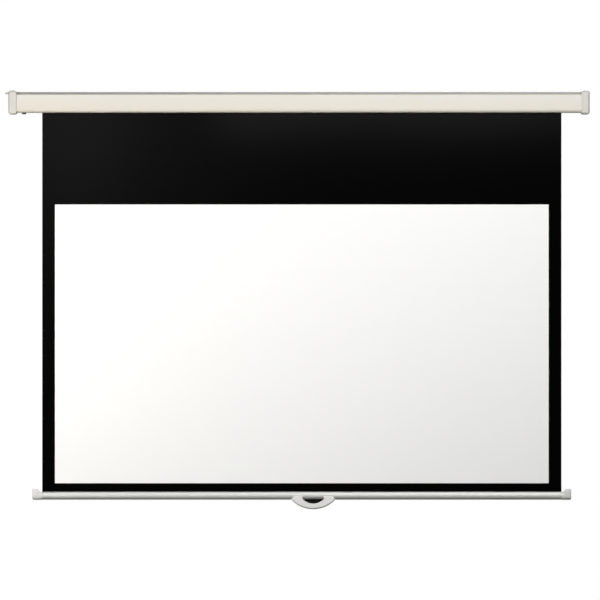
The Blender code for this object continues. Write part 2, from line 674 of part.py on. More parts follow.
def build_wall_bracket(builder, name, x, look):
    """A bent steel hook: its plate goes on the wall, its lip catches the rail's rear lip from inside."""
    half = WALL_BRACKET_WALL / 2
    bend = half + WALL_BRACKET_BEND
    tongue_z = TONGUE_TOP - half
    hook_y = RAIL_BACK - RAIL_WALL - SEAT - half
    path = [(CASE_BACK + SEAT, -WALL_BRACKET_HEIGHT, 0),
            (-half, -WALL_BRACKET_HEIGHT, bend),
            (-half, tongue_z, bend),
            (hook_y, tongue_z, half + HOOK_BEND),
            (hook_y, -RAIL_WALL - SEAT, 0)]
    bracket = builder.bent_sheet(name, rounded(path, 4), WALL_BRACKET_WALL, x - WALL_BRACKET_WIDTH / 2,
                                 x + WALL_BRACKET_WIDTH / 2, look)
    middle = -WALL_BRACKET_HEIGHT / 2
    for place, side in (("upper", 1), ("lower", -1)):
        hole = cylinder_mesh(name + "_hole_" + place, WALL_SCREW_HOLE, 4 * WALL_BRACKET_WALL, 20)
        cut(bracket, builder.cutter(name + "_hole_" + place, hole,
                                    (x, -half, middle + side * WALL_SCREW_SPACING / 2), ALONG_Y))


def build_roller_bracket(builder, name, plate_x, inward, look):
    """A bent steel plate across the casing, with a foot on its floor that points inward."""
    half = BRACKET_WALL / 2
    foot_z = CASE_FLOOR + SEAT + half
    top = AXIS_Z + BRACKET_RISE
    path = [(plate_x + inward * FOOT_LENGTH, foot_z, 0), (plate_x, foot_z, BRACKET_BEND),
            (plate_x, top + OVERCUT, 0)]
    front = AXIS_Y - BRACKET_WIDTH / 2
    back = AXIS_Y + BRACKET_WIDTH / 2
    bracket = builder.bent_sheet(name, rounded(path, 3), BRACKET_WALL, front - OVERCUT, back + OVERCUT, look,
                                 axis="Y")
    below = CASE_FLOOR - OVERCUT
    shape = [(front, below, 0), (back, below, 0), (back, top, BRACKET_ROUND), (front, top, BRACKET_ROUND)]
    mesh = outline_mesh(name + "_shape", [rounded(shape)], 4 * FOOT_LENGTH)
    cut(bracket, builder.cutter(name + "_shape", mesh, (plate_x, 0, 0), ALONG_X), "INTERSECT")
    foot_back = FABRIC_Y - SLOT_WIDTH / 2 - CASE_WALL - RUN
    lips_top = CASE_BOTTOM + SLOT_LIP + RUN
    trim = box_mesh(name + "_trim", (plate_x - 2 * FOOT_LENGTH, foot_back, below),
                    (plate_x + 2 * FOOT_LENGTH, back + OVERCUT, lips_top))
    cut(bracket, builder.cutter(name + "_trim", trim))
    return bracket


def build_left_carrier(builder, looks):
    """The bracket that grips the spear's flat end, and the thumb screw that holds it to the casing."""
    bracket = build_roller_bracket(builder, "roller_bracket_left", BRACKET_LEFT, 1, looks["zinc"])
    half_slot = SPEAR_FLAT / 2 + SEAT
    slot_low = (BRACKET_LEFT - FOOT_LENGTH, AXIS_Y - half_slot, AXIS_Z - SPEAR_RADIUS - SEAT)
    slot_high = (BRACKET_LEFT + FOOT_LENGTH, AXIS_Y + half_slot, AXIS_Z + 2 * BRACKET_RISE)
    slot = box_mesh("spear_slot", slot_low, slot_high)
    cut(bracket, builder.cutter("spear_slot", slot))
    hole = cylinder_mesh("foot_hole", CARRIER_SHANK + SEAT, 6 * BRACKET_WALL, 24)
    cut(bracket, builder.cutter("foot_hole", hole, (CARRIER_X, CARRIER_Y, CASE_FLOOR)))
    top = CASE_FLOOR + SEAT + BRACKET_WALL + CARRIER_SHANK_PROUD
    tip = top - CASE_BOTTOM
    shoulder = CARRIER_HEAD_HEIGHT - CARRIER_HEAD_CHAMFER
    profile = [(tip, 0.0), (tip, CARRIER_SHANK - CARRIER_TIP_CHAMFER),
               (tip - CARRIER_TIP_CHAMFER, CARRIER_SHANK), (-SEAT, CARRIER_SHANK), (-SEAT, CARRIER_HEAD),
               (-shoulder, CARRIER_HEAD), (-CARRIER_HEAD_HEIGHT, CARRIER_HEAD - CARRIER_HEAD_CHAMFER),
               (-CARRIER_HEAD_HEIGHT, 0.0)]
    screw = builder.turned("carrier_screw", profile, looks["dark"], (CARRIER_X, CARRIER_Y, CASE_BOTTOM))
    screw.rotation_euler = UPRIGHT
    settle(screw)


def build_right_carrier(builder, looks):
    """The bracket and nylon bush that the idle pin turns in."""
    bracket = build_roller_bracket(builder, "roller_bracket_right", BRACKET_RIGHT, -1, looks["zinc"])
    bush_bore = IDLE_PIN_RADIUS + SEAT
    bush_outer = bush_bore + BUSH_WALL
    hole = cylinder_mesh("bush_hole", bush_outer + SEAT, 3 * BRACKET_WALL, 32)
    cut(bracket, builder.cutter("bush_hole", hole, (BRACKET_RIGHT, AXIS_Y, AXIS_Z), ALONG_X))
    flange = bush_outer + BUSH_WALL
    half = BRACKET_WALL / 2
    inner_end = -half - SEAT
    profile = [(half + BUSH_WALL, bush_bore), (half + BUSH_WALL, bush_outer), (inner_end, bush_outer),
               (inner_end, flange), (inner_end - BUSH_WALL, flange), (inner_end - BUSH_WALL, bush_bore)]
    at = (BRACKET_RIGHT, AXIS_Y, AXIS_Z)
    settle(builder.turned("idle_bush", profile, looks["nylon"], at, closed=True))


def build_spear(builder, look):
    """The fixed steel rod that carries the spring; its left end is flattened to sit in the bracket."""
    rod = cylinder_mesh("spear_rod", SPEAR_RADIUS, SPEAR_RIGHT - SPEAR_LEFT, 24)
    middle = (SPEAR_LEFT + SPEAR_RIGHT) / 2
    spear = builder.piece("spear_rod", rod, look, (middle, AXIS_Y, AXIS_Z), ALONG_X)
    for place, side in (("front", -1), ("back", 1)):
        near = AXIS_Y + side * SPEAR_FLAT / 2
        far = AXIS_Y + side * 2 * SPEAR_RADIUS
        low = (SPEAR_LEFT - OVERCUT, min(near, far), AXIS_Z - 2 * SPEAR_RADIUS)
        high = (SPEAR_LEFT + SPEAR_FLAT_LENGTH, max(near, far), AXIS_Z + 2 * SPEAR_RADIUS)
        cut(spear, builder.cutter("spear_flat_" + place, box_mesh("spear_flat_" + place, low, high)))
    settle(spear)


def spring_points():
    """Points on the helix of the spring wire's middle."""
    turns = np.linspace(0, SPRING_TURNS, round(SPRING_TURNS * POINTS_PER_TURN) + 1)
    angle = math.tau * turns
    return np.column_stack([SPRING_LEFT + SPRING_PITCH * turns, AXIS_Y + SPRING_RADIUS * np.cos(angle),
                            AXIS_Z + SPRING_RADIUS * np.sin(angle)])


def least_coil_gap(points):
    """The least clear distance between the wires of two turns, in metres."""
    apart = np.linalg.norm(points[:, None] - points[None], axis=2)
    order = np.arange(len(points))
    other_turn = np.abs(order[:, None] - order[None]) > POINTS_PER_TURN / 2
    return apart[other_turn].min() - 2 * SPRING_WIRE


def build_spring(builder, looks):
    """The torsion spring as one helix, and the anchor disc that holds its fixed end on the spear."""
    points = spring_points()
    curve = bpy.data.curves.new("torsion_spring", "CURVE")
    curve.dimensions = "3D"
    curve.bevel_depth = SPRING_WIRE
    curve.bevel_resolution = 1
    curve.use_fill_caps = True
    spline = curve.splines.new("POLY")
    spline.points.add(len(points) - 1)
    for point, place in zip(spline.points, points):
        point.co = (*place, 1)
    builder.piece("torsion_spring", curve, looks["spring"])
    print(f"least gap between turns of the spring {least_coil_gap(points) / MM:.2f} mm")
    bore = SPEAR_RADIUS + SEAT
    disc = TUBE_BORE - RUN
    profile = [(ANCHOR_DISC, bore), (ANCHOR_DISC, disc), (0.0, disc), (0.0, SPIGOT_RADIUS),
               (-SEAT_LENGTH, SPIGOT_RADIUS), (-SEAT_LENGTH, bore)]
    settle(builder.turned("spring_anchor", profile, looks["zinc"], (ANCHOR_X, AXIS_Y, AXIS_Z), closed=True))


def ratchet_outline():
    """A disc with two notches half a turn apart: rim, a ramp down to the floor, and a step back up."""
    loop = []
    for turned_by in (0.0, math.pi):
        step = RATCHET_STEP + turned_by
        floor_start = step + math.pi - RATCHET_FLOOR
        ramp_start = floor_start - RATCHET_RAMP
        loop += arc((0, 0), RATCHET_RADIUS, step, ramp_start, 20)
        for share in np.linspace(0, 1, 7)[1:-1]:
            radius = RATCHET_RADIUS + share * (RATCHET_ROOT - RATCHET_RADIUS)
            angle = ramp_start + share * RATCHET_RAMP
            loop.append((radius * math.cos(angle), radius * math.sin(angle)))
        loop += arc((0, 0), RATCHET_ROOT, floor_start, step + math.pi, 5)
    return loop


def build_ratchet(builder, look):
    """The notched disc fixed on the spear, with a hub on its outer side."""
    bore = arc((0, 0), SPEAR_RADIUS + SEAT, 0, math.tau, 24)[:-1]
    left = RATCHET_X - RATCHET_WIDTH / 2
    ratchet = builder.bar_x("ratchet", [ratchet_outline(), bore], left, left + RATCHET_WIDTH, look,
                            at=(AXIS_Y, AXIS_Z))
    sunk = SEAT / 2
    hub_loops = [arc((0, 0), RATCHET_HUB_RADIUS, 0, math.tau, 24)[:-1], bore]
    hub = outline_mesh("ratchet_hub", hub_loops, RATCHET_HUB_LENGTH + sunk)
    hub_x = left + (sunk - RATCHET_HUB_LENGTH) / 2
    cut(ratchet, builder.cutter("ratchet_hub", hub, (hub_x, AXIS_Y, AXIS_Z), ALONG_X), "UNION")


def pawl_pivot(turned_by):
    return (AXIS_Y + PAWL_PIVOT * math.cos(math.radians(90) + turned_by),
            AXIS_Z + PAWL_PIVOT * math.sin(math.radians(90) + turned_by))


def pawl_reach():
    """The dropped pawl's length and angle from pivot to nose, for the pawl whose pivot is above the axis."""
    nose_angle = math.radians(90) + PAWL_NOSE_LEAD
    across = PAWL_NOSE_DROPPED * math.cos(nose_angle)
    down = PAWL_NOSE_DROPPED * math.sin(nose_angle) - PAWL_PIVOT
    return math.hypot(across, down), math.atan2(down, across)


def build_pawl(builder, name, turned_by, carrier, look):
    """A lever round its pin that tapers to a round nose; at rest it is lifted out of its notch."""
    length, dropped = pawl_reach()
    direction = dropped - PAWL_SWING + turned_by
    nose = (length * math.cos(direction), length * math.sin(direction))
    side = math.acos((PAWL_EYE - PAWL_NOSE) / length)
    outline = arc((0, 0), PAWL_EYE, direction + side, direction + math.tau - side, 14)
    outline += arc(nose, PAWL_NOSE, direction - side, direction + side, 6)
    eye = arc((0, 0), PAWL_PIN + SEAT, 0, math.tau, 20)[:-1]
    left = RATCHET_X - PAWL_THICKNESS / 2
    builder.bar_x(name, [outline, eye], left, left + PAWL_THICKNESS, look, carrier, pawl_pivot(turned_by))


def build_spring_end(builder, roller, looks):
    """The plug that turns on the spear, its bush, and the pins of the two pawls."""
    bush_room = BUSH_OUTER + SEAT
    length = PLUG_LENGTH + SEAT + PLUG_FLANGE
    far = length + SEAT_LENGTH
    at = (PLUG_FACE, AXIS_Y, AXIS_Z)
    profile = [(far, bush_room), (far, SPIGOT_RADIUS), (length, SPIGOT_RADIUS), (length, PLUG_RADIUS),
               (PLUG_FLANGE, PLUG_RADIUS), (PLUG_FLANGE, TUBE_RADIUS), (0.0, TUBE_RADIUS), (0.0, bush_room)]
    plug = builder.turned("spring_end_plug", profile, looks["zinc"], at, roller, closed=True)
    bush_bore = SPEAR_RADIUS + SEAT
    bush = [(length, bush_bore), (length, BUSH_OUTER), (0.0, BUSH_OUTER), (0.0, bush_bore)]
    settle(builder.turned("spring_end_bush", bush, looks["nylon"], at, roller, closed=True))
    outward = PLUG_FACE - (RATCHET_X - PAWL_THICKNESS / 2 - SEAT)
    inward = PLUG_FLANGE - SEAT
    for letter, turned_by in (("a", 0.0), ("b", math.pi)):
        pivot = pawl_pivot(turned_by)
        pin = [(inward, 0.0), (inward, PAWL_PIN), (-outward, PAWL_PIN), (-outward, PAWL_PIN_HEAD),
               (-outward - PAWL_PIN_HEAD_HEIGHT, PAWL_PIN_HEAD), (-outward - PAWL_PIN_HEAD_HEIGHT, 0.0)]
        settle(builder.turned("pawl_pin_" + letter, pin, looks["steel"], (PLUG_FACE, *pivot), roller, 20))
        hole = cylinder_mesh("pin_hole_" + letter, PAWL_PIN + SEAT, 2 * PLUG_FLANGE, 20)
        cut(plug, builder.cutter("pin_hole_" + letter, hole, (PLUG_FACE, *pivot), ALONG_X))
    settle(plug)


def build_idle_end(builder, roller, looks):
    """The plug in the tube's right end and the pin that turns in the right bracket's bush."""
    bore = IDLE_PIN_RADIUS + SEAT
    face = TUBE_RIGHT + SEAT + PLUG_FLANGE
    length = PLUG_LENGTH + SEAT + PLUG_FLANGE
    profile = [(0.0, bore), (0.0, TUBE_RADIUS), (-PLUG_FLANGE, TUBE_RADIUS), (-PLUG_FLANGE, PLUG_RADIUS),
               (-length, PLUG_RADIUS), (-length, bore)]
    at = (face, AXIS_Y, AXIS_Z)
    settle(builder.turned("idle_end_plug", profile, looks["nylon"], at, roller, closed=True))
    left = face - length
    right = BRACKET_RIGHT + IDLE_PIN_PROUD
    pin = [(right, 0.0), (right, IDLE_PIN_RADIUS - IDLE_PIN_CHAMFER),
           (right - IDLE_PIN_CHAMFER, IDLE_PIN_RADIUS), (left, IDLE_PIN_RADIUS), (left, 0.0)]
    settle(builder.turned("idle_pin", pin, looks["steel"], (0, AXIS_Y, AXIS_Z), roller))


def build_roller(builder, roller, looks):
    """The tube, and the turns of fabric left on it, which end at the back where the cloth hangs down."""
    tube = [(TUBE_RIGHT, TUBE_BORE), (TUBE_RIGHT, TUBE_RADIUS),
            (TUBE_LEFT, TUBE_RADIUS), (TUBE_LEFT, TUBE_BORE)]
    at = (0, AXIS_Y, AXIS_Z)
    settle(builder.turned("roller_tube", tube, looks["tube"], at, roller, TUBE_FACETS, closed=True))
    angle = np.linspace(0, math.tau * ROLL_TURNS, round(ROLL_FACETS * ROLL_TURNS) + 1)
    outside = ROLL_OUTER - ROLL_PITCH * angle / math.tau
    face = np.column_stack([outside * np.cos(angle), outside * np.sin(angle)])
    inside = outside - FABRIC_THICKNESS
    back = np.column_stack([inside * np.cos(angle), inside * np.sin(angle)])
    loop = [tuple(point) for point in np.concatenate([face, back[::-1]])]
    builder.bar_x("fabric_roll", [loop], FABRIC_LEFT, FABRIC_RIGHT, looks["fabric"], roller, (AXIS_Y, AXIS_Z))


def build_hanging_cloth(builder, looks):
    """The black sheet from roll to hem, with the white viewing surface in front of it."""
    sheet = box_mesh("screen_fabric", (FABRIC_LEFT, FABRIC_BACK - FABRIC_THICKNESS, HEM_TOP + SEAT),
                     (FABRIC_RIGHT, FABRIC_BACK, FABRIC_TOP))
    builder.piece("screen_fabric", sheet, looks["fabric"])
    back = FABRIC_BACK - FABRIC_THICKNESS - SEAT
    view = box_mesh("viewing_surface", (FABRIC_SHIFT - VIEW_WIDTH / 2, back - VIEW_THICKNESS, VIEW_BOTTOM),
                    (FABRIC_SHIFT + VIEW_WIDTH / 2, back, VIEW_TOP))
    builder.piece("viewing_surface", view, looks["view"])


def bar_section(count, grow=0.0, ear=0.0):
    """The bar's outline from its bottom round to the right, as (depth, height above the bottom).

    Below the belly it is half an ellipse. Above it, two quarter ellipses meet a flat top. An ear from 0 to 1
    lifts the top, widens its flat land and squares its shoulders.
    """
    belly = BAR_BELLY * BAR_HEIGHT
    half = BAR_DEPTH / 2 + grow
    land = BAR_TOP_LAND + ear * (EAR_HALF_LAND - BAR_TOP_LAND)
    crown = BAR_HEIGHT - belly + grow + ear * EAR_RISE
    loop = []
    for i in range(count):
        angle = math.tau * (i + 0.5) / count - math.pi / 2
        sine = math.sin(angle)
        cosine = math.cos(angle)
        if sine < 0:
            loop.append((half * cosine, belly + (belly + grow) * sine))
        else:
            side = math.copysign(1.0, cosine)
            loop.append((side * (land + (half - land) * abs(cosine)), belly + crown * sine))
    return loop


def build_weight_bar(builder, bar, looks):
    """The extruded bar: a mouth and round channel for the hem, and a bore for the ballast rod."""
    outer = bar_section(48)
    right_side = [point for point in outer if point[0] > 0]
    left_side = [point for point in outer if point[0] < 0]
    mouth = BAR_MOUTH / 2
    shoulder = math.asin(mouth / HEM_BORE)
    up = math.radians(90)
    loop = right_side + [(mouth, BAR_HEIGHT)]
    loop += arc((0, HEM_Z - BAR_BOTTOM), HEM_BORE, up - shoulder, up - math.tau + shoulder, 22)
    loop += [(-mouth, BAR_HEIGHT)] + left_side
    bore = arc((0, BALLAST_Z - BAR_BOTTOM), BALLAST_BORE, 0, math.tau, 28)[:-1]
    weight_bar = builder.bar_x("weight_bar", [loop, bore], FABRIC_LEFT, FABRIC_RIGHT, looks["bar"], bar,
                               (FABRIC_Y, BAR_BOTTOM))
    for place, side in (("left", -1), ("right", 1)):
        hole = cylinder_mesh("bar_hole_" + place, HANDLE_SCREW_SHANK + SEAT, 2 * (BAR_FLOOR + SEAT), 20)
        x = HANDLE_X + side * HANDLE_SCREW_X
        cut(weight_bar, builder.cutter("bar_hole_" + place, hole, (x, FABRIC_Y, BAR_BOTTOM)))


def build_hem(builder, bar, looks):
    """The fabric's hem round its rod, inside the bar, and the steel ballast rod below it."""
    neck = FABRIC_THICKNESS / 2
    spread = math.asin(neck / HEM_OUTER)
    up = math.radians(90)
    outer = arc((0, 0), HEM_OUTER, up + spread, up + math.tau - spread, 24)
    outer += [(neck, HEM_TOP - HEM_Z), (-neck, HEM_TOP - HEM_Z)]
    inner = arc((0, 0), HEM_INNER, 0, math.tau, 24)[:-1]
    at = (FABRIC_Y, HEM_Z)
    builder.bar_x("fabric_hem", [outer, inner], FABRIC_LEFT, FABRIC_RIGHT, looks["fabric"], bar, at)
    rods = (("hem_rod", HEM_INNER - SEAT, HEM_Z, 0.0, looks["nylon"]),
            ("ballast_rod", BALLAST_BORE - SEAT, BALLAST_Z, BALLAST_SHORT, looks["steel"]))
    for name, radius, z, short, look in rods:
        mesh = cylinder_mesh(name, radius, FABRIC_WIDTH - 2 * short, 24)
        settle(builder.piece(name, mesh, look, (FABRIC_SHIFT, FABRIC_Y, z), ALONG_X, bar))


def build_bar_cap(builder, name, side, bar, look):
    """A moulded end for the bar, lofted along X: a spigot, the bar's own outline, then the upswept ear."""
    count = 36
    face = SEAT
    end = BAR_CAP_LENGTH
    spigot_z = BALLAST_Z - BAR_BOTTOM
    circle = [((BALLAST_BORE - SEAT) * math.cos(a), spigot_z + (BALLAST_BORE - SEAT) * math.sin(a))
              for a in (math.tau * (i + 0.5) / count - math.pi / 2 for i in range(count))]
    rings = [(-SPIGOT_LENGTH, circle), (face, circle), (face, bar_section(count, BAR_CAP_PROUD))]
    for share in np.linspace(0, 1, 7):
        ear = share * share * (3 - 2 * share)
        rings.append((BAR_CAP_SLEEVE + share * EAR_SLOPE, bar_section(count, BAR_CAP_PROUD, ear)))
    for angle in np.radians([0, 30, 60, 85]):
        inset = BAR_CAP_ROUND * (1 - math.cos(angle))
        along = end - BAR_CAP_ROUND * (1 - math.sin(angle))
        rings.append((along, bar_section(count, BAR_CAP_PROUD - inset, 1.0)))
    points = [(side * along, y, z) for along, ring in rings for y, z in ring]
    faces = []
    for ring in range(len(rings) - 1):
        for i in range(count):
            j = (i + 1) % count
            faces.append((ring * count + i, ring * count + j, (ring + 1) * count + j, (ring + 1) * count + i))
    faces.append(tuple(range(count)))
    faces.append(tuple(range((len(rings) - 1) * count, len(rings) * count)))
    mesh = bpy.data.meshes.new(name)
    mesh.from_pydata(points, [], faces)
    x = FABRIC_RIGHT if side > 0 else FABRIC_LEFT
    settle(builder.piece(name, welded(mesh), look, (x, FABRIC_Y, BAR_BOTTOM), UPRIGHT, bar))


HANDLE_ARC = ((HANDLE_WIDTH / 2) ** 2 + HANDLE_DROP ** 2) / (2 * HANDLE_DROP)
CUP_SAG = CUP_TOP + CUP_DROP
CUP_ARC = ((CUP_WIDTH / 2) ** 2 + CUP_SAG ** 2) / (2 * CUP_SAG)


def handle_edge(x):
    """Height of the handle's outer arc at x, from the bar's bottom."""
    return HANDLE_ARC - HANDLE_DROP - math.sqrt(HANDLE_ARC ** 2 - x ** 2)


def cup_edge(x):
    """Height of the finger cup's arc at x, from the bar's bottom."""
    return CUP_ARC - CUP_DROP - math.sqrt(CUP_ARC ** 2 - x ** 2)


def handle_outline():
    half = HANDLE_WIDTH / 2
    xs = np.linspace(-half, half, 25)[1:-1]
    tip = half - HORN_TAPER
    corners = [(-tip, HORN_RISE, HORN_TIP_ROUND), (-half, 0.0, HORN_SIDE_ROUND)]
    corners += sharp([(x, handle_edge(x)) for x in xs])
    corners += [(half, 0.0, HORN_SIDE_ROUND), (tip, HORN_RISE, HORN_TIP_ROUND)]
    return rounded(corners, 3)


def cup_outline(inset, top):
    """The finger cup's outline: an arc below, straight sides and a flat top."""
    half = CUP_WIDTH / 2 - inset
    radius = CUP_ARC - inset
    centre_z = CUP_ARC - CUP_DROP
    sides = [(half, top), (-half, top)]
    reach = math.acos(half / radius)
    if top < centre_z - radius * math.sin(reach):
        sides = []
        reach = math.asin((centre_z - top) / radius)
    return sides + arc((0, centre_z), radius, math.pi + reach, math.tau - reach, 16)


def pocket_outline(low_x, high_x):
    """A pocket behind the handle's face, between its outer skin and the skin under cup and bar."""
    xs = np.linspace(low_x, high_x, 7)
    half_cup = CUP_WIDTH / 2
    floor = [(x, handle_edge(x) + HANDLE_SKIN) for x in xs]
    roof = [(x, min(cup_edge(min(abs(x), half_cup)) - HANDLE_SKIN, -SADDLE)) for x in xs[::-1]]
    return floor + roof


def build_handle(builder, bar, looks):
    """The moulded pull: a crescent saddle with a finger cup in front and ribbed pockets behind."""
    depth = HANDLE_BACK - HANDLE_FRONT
    middle = (HANDLE_FRONT + HANDLE_BACK) / 2
    at = (HANDLE_X, middle, BAR_BOTTOM)
    handle = builder.piece("handle", outline_mesh("handle", [handle_outline()], depth), looks["handle"], at,
                           ALONG_Y, bar)
    edge = handle.modifiers.new("edge", "BEVEL")
    edge.width = HANDLE_EDGE
    edge.segments = 3
    edge.limit_method = "ANGLE"
    edge.angle_limit = math.radians(50)

    room = outline_mesh("bar_room", [bar_section(40, SEAT)], 1.5 * HANDLE_WIDTH)
    bar_room = builder.cutter("bar_room", room, (HANDLE_X, FABRIC_Y, BAR_BOTTOM), ALONG_X)
    cut(handle, bar_room)
    behind = box_mesh("cradle_trim", (HANDLE_X - HANDLE_WIDTH, FABRIC_Y, BAR_BOTTOM + CRADLE_RISE),
                      (HANDLE_X + HANDLE_WIDTH, HANDLE_BACK + OVERCUT, BAR_TOP))
    cut(handle, builder.cutter("cradle_trim", behind))
    recess = outline_mesh("cup_room", [cup_outline(0.0, 2 * HORN_RISE)], 2 * CUP_DEPTH)
    cut(handle, builder.cutter("cup_room", recess, (HANDLE_X, HANDLE_FRONT, BAR_BOTTOM), ALONG_Y))

    boss = HANDLE_SCREW_X - HANDLE_BOSS
    rib = boss / 2
    spans = [(HANDLE_RIB / 2, rib - HANDLE_RIB / 2), (rib + HANDLE_RIB / 2, boss)]
    pocket_front = HANDLE_FRONT + HANDLE_SKIN
    for number, (low, high) in enumerate(spans):
        for place, xs in (("left", (-high, -low)), ("right", (low, high))):
            name = f"pocket_{place}_{number}"
            mesh = outline_mesh(name, [pocket_outline(*xs)], 2 * (HANDLE_BACK - pocket_front))
            cut(handle, builder.cutter(name, mesh, (HANDLE_X, HANDLE_BACK, BAR_BOTTOM), ALONG_Y))
    for place, side in (("left", -1), ("right", 1)):
        build_handle_screw(builder, handle, place, HANDLE_X + side * HANDLE_SCREW_X, bar, looks["steel"])

    cup = builder.piece("handle_insert", outline_mesh("handle_insert", [cup_outline(SEAT, CUP_TOP)],
                                                      CUP_DEPTH - SEAT),
                        looks["insert"], (HANDLE_X, HANDLE_FRONT + (CUP_DEPTH - SEAT) / 2, BAR_BOTTOM),
                        ALONG_Y, bar)
    mouth = cup_outline(SEAT + CUP_SKIN, 2 * HORN_RISE)
    hollow = outline_mesh("cup_hollow", [mouth], 2 * (CUP_DEPTH - CUP_SKIN))
    cut(cup, builder.cutter("cup_hollow", hollow, (HANDLE_X, HANDLE_FRONT, BAR_BOTTOM), ALONG_Y))
    cut(cup, bar_room)


def build_handle_screw(builder, handle, place, x, bar, look):
    """A screw from below through the handle's saddle into the bar, and its counterbore."""
    seat_z = BAR_BOTTOM - HANDLE_SCREW_SEAT
    bore = cylinder_mesh("screw_bore_" + place, HANDLE_SCREW_SHANK + SEAT, 4 * HANDLE_SCREW_SEAT, 20)
    cut(handle, builder.cutter("screw_bore_" + place, bore, (x, FABRIC_Y, BAR_BOTTOM)))
    sink = cylinder_mesh("screw_sink_" + place, HANDLE_SCREW_HEAD + RUN, 2 * HANDLE_DROP, 24)
    cut(handle, builder.cutter("screw_sink_" + place, sink, (x, FABRIC_Y, seat_z - HANDLE_DROP)))
    head = -SEAT - HANDLE_SCREW_HEAD_HEIGHT
    tip = HANDLE_SCREW_SEAT + HANDLE_SCREW_BITE
    chamfer = HANDLE_SCREW_CHAMFER
    profile = [(tip, 0.0), (tip, HANDLE_SCREW_SHANK - chamfer), (tip - chamfer, HANDLE_SCREW_SHANK),
               (-SEAT, HANDLE_SCREW_SHANK), (-SEAT, HANDLE_SCREW_HEAD), (head + chamfer, HANDLE_SCREW_HEAD),
               (head, HANDLE_SCREW_HEAD - chamfer), (head, 0.0)]
    screw = builder.turned("handle_screw_" + place, profile, look, (x, FABRIC_Y, seat_z), bar, 20)
    screw.rotation_euler = UPRIGHT
    settle(screw)


def main():
    for obj in list(bpy.data.objects):
        bpy.data.objects.remove(obj)
    builder = Builder()
    looks = {
        "case": finish("casing enamel", "e9e6df", 0.45),
        "rail": finish("rail grey", "a5a69f", 0.4, 0.6),
        "cap": finish("cap plastic", "dfddd4", 0.5),
        "zinc": finish("zinc plated steel", "b4b6b8", 0.35, 0.9),
        "steel": finish("bright steel", "c4c6c8", 0.3, 1.0),
        "dark": finish("dark plastic", "3a3936", 0.6),
        "nylon": finish("nylon", "e8e4d8", 0.5),
        "spring": finish("spring wire", "55575a", 0.35, 1.0),
        "tube": finish("roller tube", "b9bbbd", 0.4, 0.8),
        "fabric": finish("black fabric", "0d0d0f", 0.7),
        "view": finish("white viewing surface", "f2f2f0", 0.85),
        "bar": finish("satin bar", "cfcfcd", 0.35, 0.7),
        "handle": finish("handle plastic", "d9d9d6", 0.45),
        "insert": finish("black plastic", "060606", 0.6),
    }

    build_casing(builder, looks["case"])
    build_rail(builder, looks["rail"])
    build_rail_lug(builder, looks["cap"])
    for place, side in (("left", -1), ("right", 1)):
        build_end_cap(builder, "end_cap_" + place, side, looks["cap"])
        build_cap_screw(builder, f"cap_screw_{place}_upper", side, UPPER_PORT, looks["zinc"])
        build_cap_screw(builder, f"cap_screw_{place}_lower", side, LOWER_PORT, looks["zinc"])
        build_wall_bracket(builder, "wall_bracket_" + place, side * WALL_BRACKET_X, looks["zinc"])
    build_left_carrier(builder, looks)
    build_right_carrier(builder, looks)
    build_spear(builder, looks["steel"])
    build_spring(builder, looks)
    build_ratchet(builder, looks["zinc"])

    roller = builder.carrier("roller_axis", (0, AXIS_Y, AXIS_Z))
    build_roller(builder, roller, looks)
    build_spring_end(builder, roller, looks)
    build_idle_end(builder, roller, looks)
    for letter, turned_by in (("a", 0.0), ("b", math.pi)):
        build_pawl(builder, "pawl_" + letter, turned_by, roller, looks["dark"])

    build_hanging_cloth(builder, looks)
    bar = builder.carrier("bar_slide", (FABRIC_SHIFT, FABRIC_Y, BAR_BOTTOM))
    build_weight_bar(builder, bar, looks)
    build_hem(builder, bar, looks)
    for place, side in (("left", -1), ("right", 1)):
        build_bar_cap(builder, "bar_cap_" + place, side, bar, looks["cap"])
    build_handle(builder, bar, looks)
    print(f"travel {TRAVEL / MM:.2f} mm, roller axis y {AXIS_Y / MM:.2f} z {AXIS_Z / MM:.2f} mm")


main()
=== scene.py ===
"""Looks of the pull down projector screen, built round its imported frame.

Metres, +Z up. The wall is the plane y = 0, the viewer stands at -Y, and X runs along the casing.
"""
import json
import math

import bmesh
import bpy
import numpy as np
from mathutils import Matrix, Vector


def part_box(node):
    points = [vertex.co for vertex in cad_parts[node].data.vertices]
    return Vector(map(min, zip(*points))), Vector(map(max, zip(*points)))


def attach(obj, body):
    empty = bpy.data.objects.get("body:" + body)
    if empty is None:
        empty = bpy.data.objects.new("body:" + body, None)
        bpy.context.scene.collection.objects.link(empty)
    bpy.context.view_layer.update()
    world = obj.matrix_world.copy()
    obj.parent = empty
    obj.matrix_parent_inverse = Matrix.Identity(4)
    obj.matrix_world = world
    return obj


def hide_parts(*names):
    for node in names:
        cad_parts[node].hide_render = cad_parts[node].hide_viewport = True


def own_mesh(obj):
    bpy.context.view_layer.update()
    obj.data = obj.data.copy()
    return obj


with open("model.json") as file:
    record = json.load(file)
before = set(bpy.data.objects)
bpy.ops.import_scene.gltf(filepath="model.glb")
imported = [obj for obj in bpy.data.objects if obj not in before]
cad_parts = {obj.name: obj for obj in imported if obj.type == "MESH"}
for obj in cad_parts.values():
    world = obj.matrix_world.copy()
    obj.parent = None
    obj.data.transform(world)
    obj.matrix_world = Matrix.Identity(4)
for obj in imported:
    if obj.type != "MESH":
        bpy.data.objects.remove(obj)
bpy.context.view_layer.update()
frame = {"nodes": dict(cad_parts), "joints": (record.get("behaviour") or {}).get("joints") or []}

bl_info = {
    "name": "Pull Down Screen",
    "version": (1, 0, 0),
    "blender": (4, 5, 0),
    "location": "3D View > Sidebar > Pull Screen",
    "description": "Dresses a pull down projector screen and sets its studio",
    "category": "Object",
}

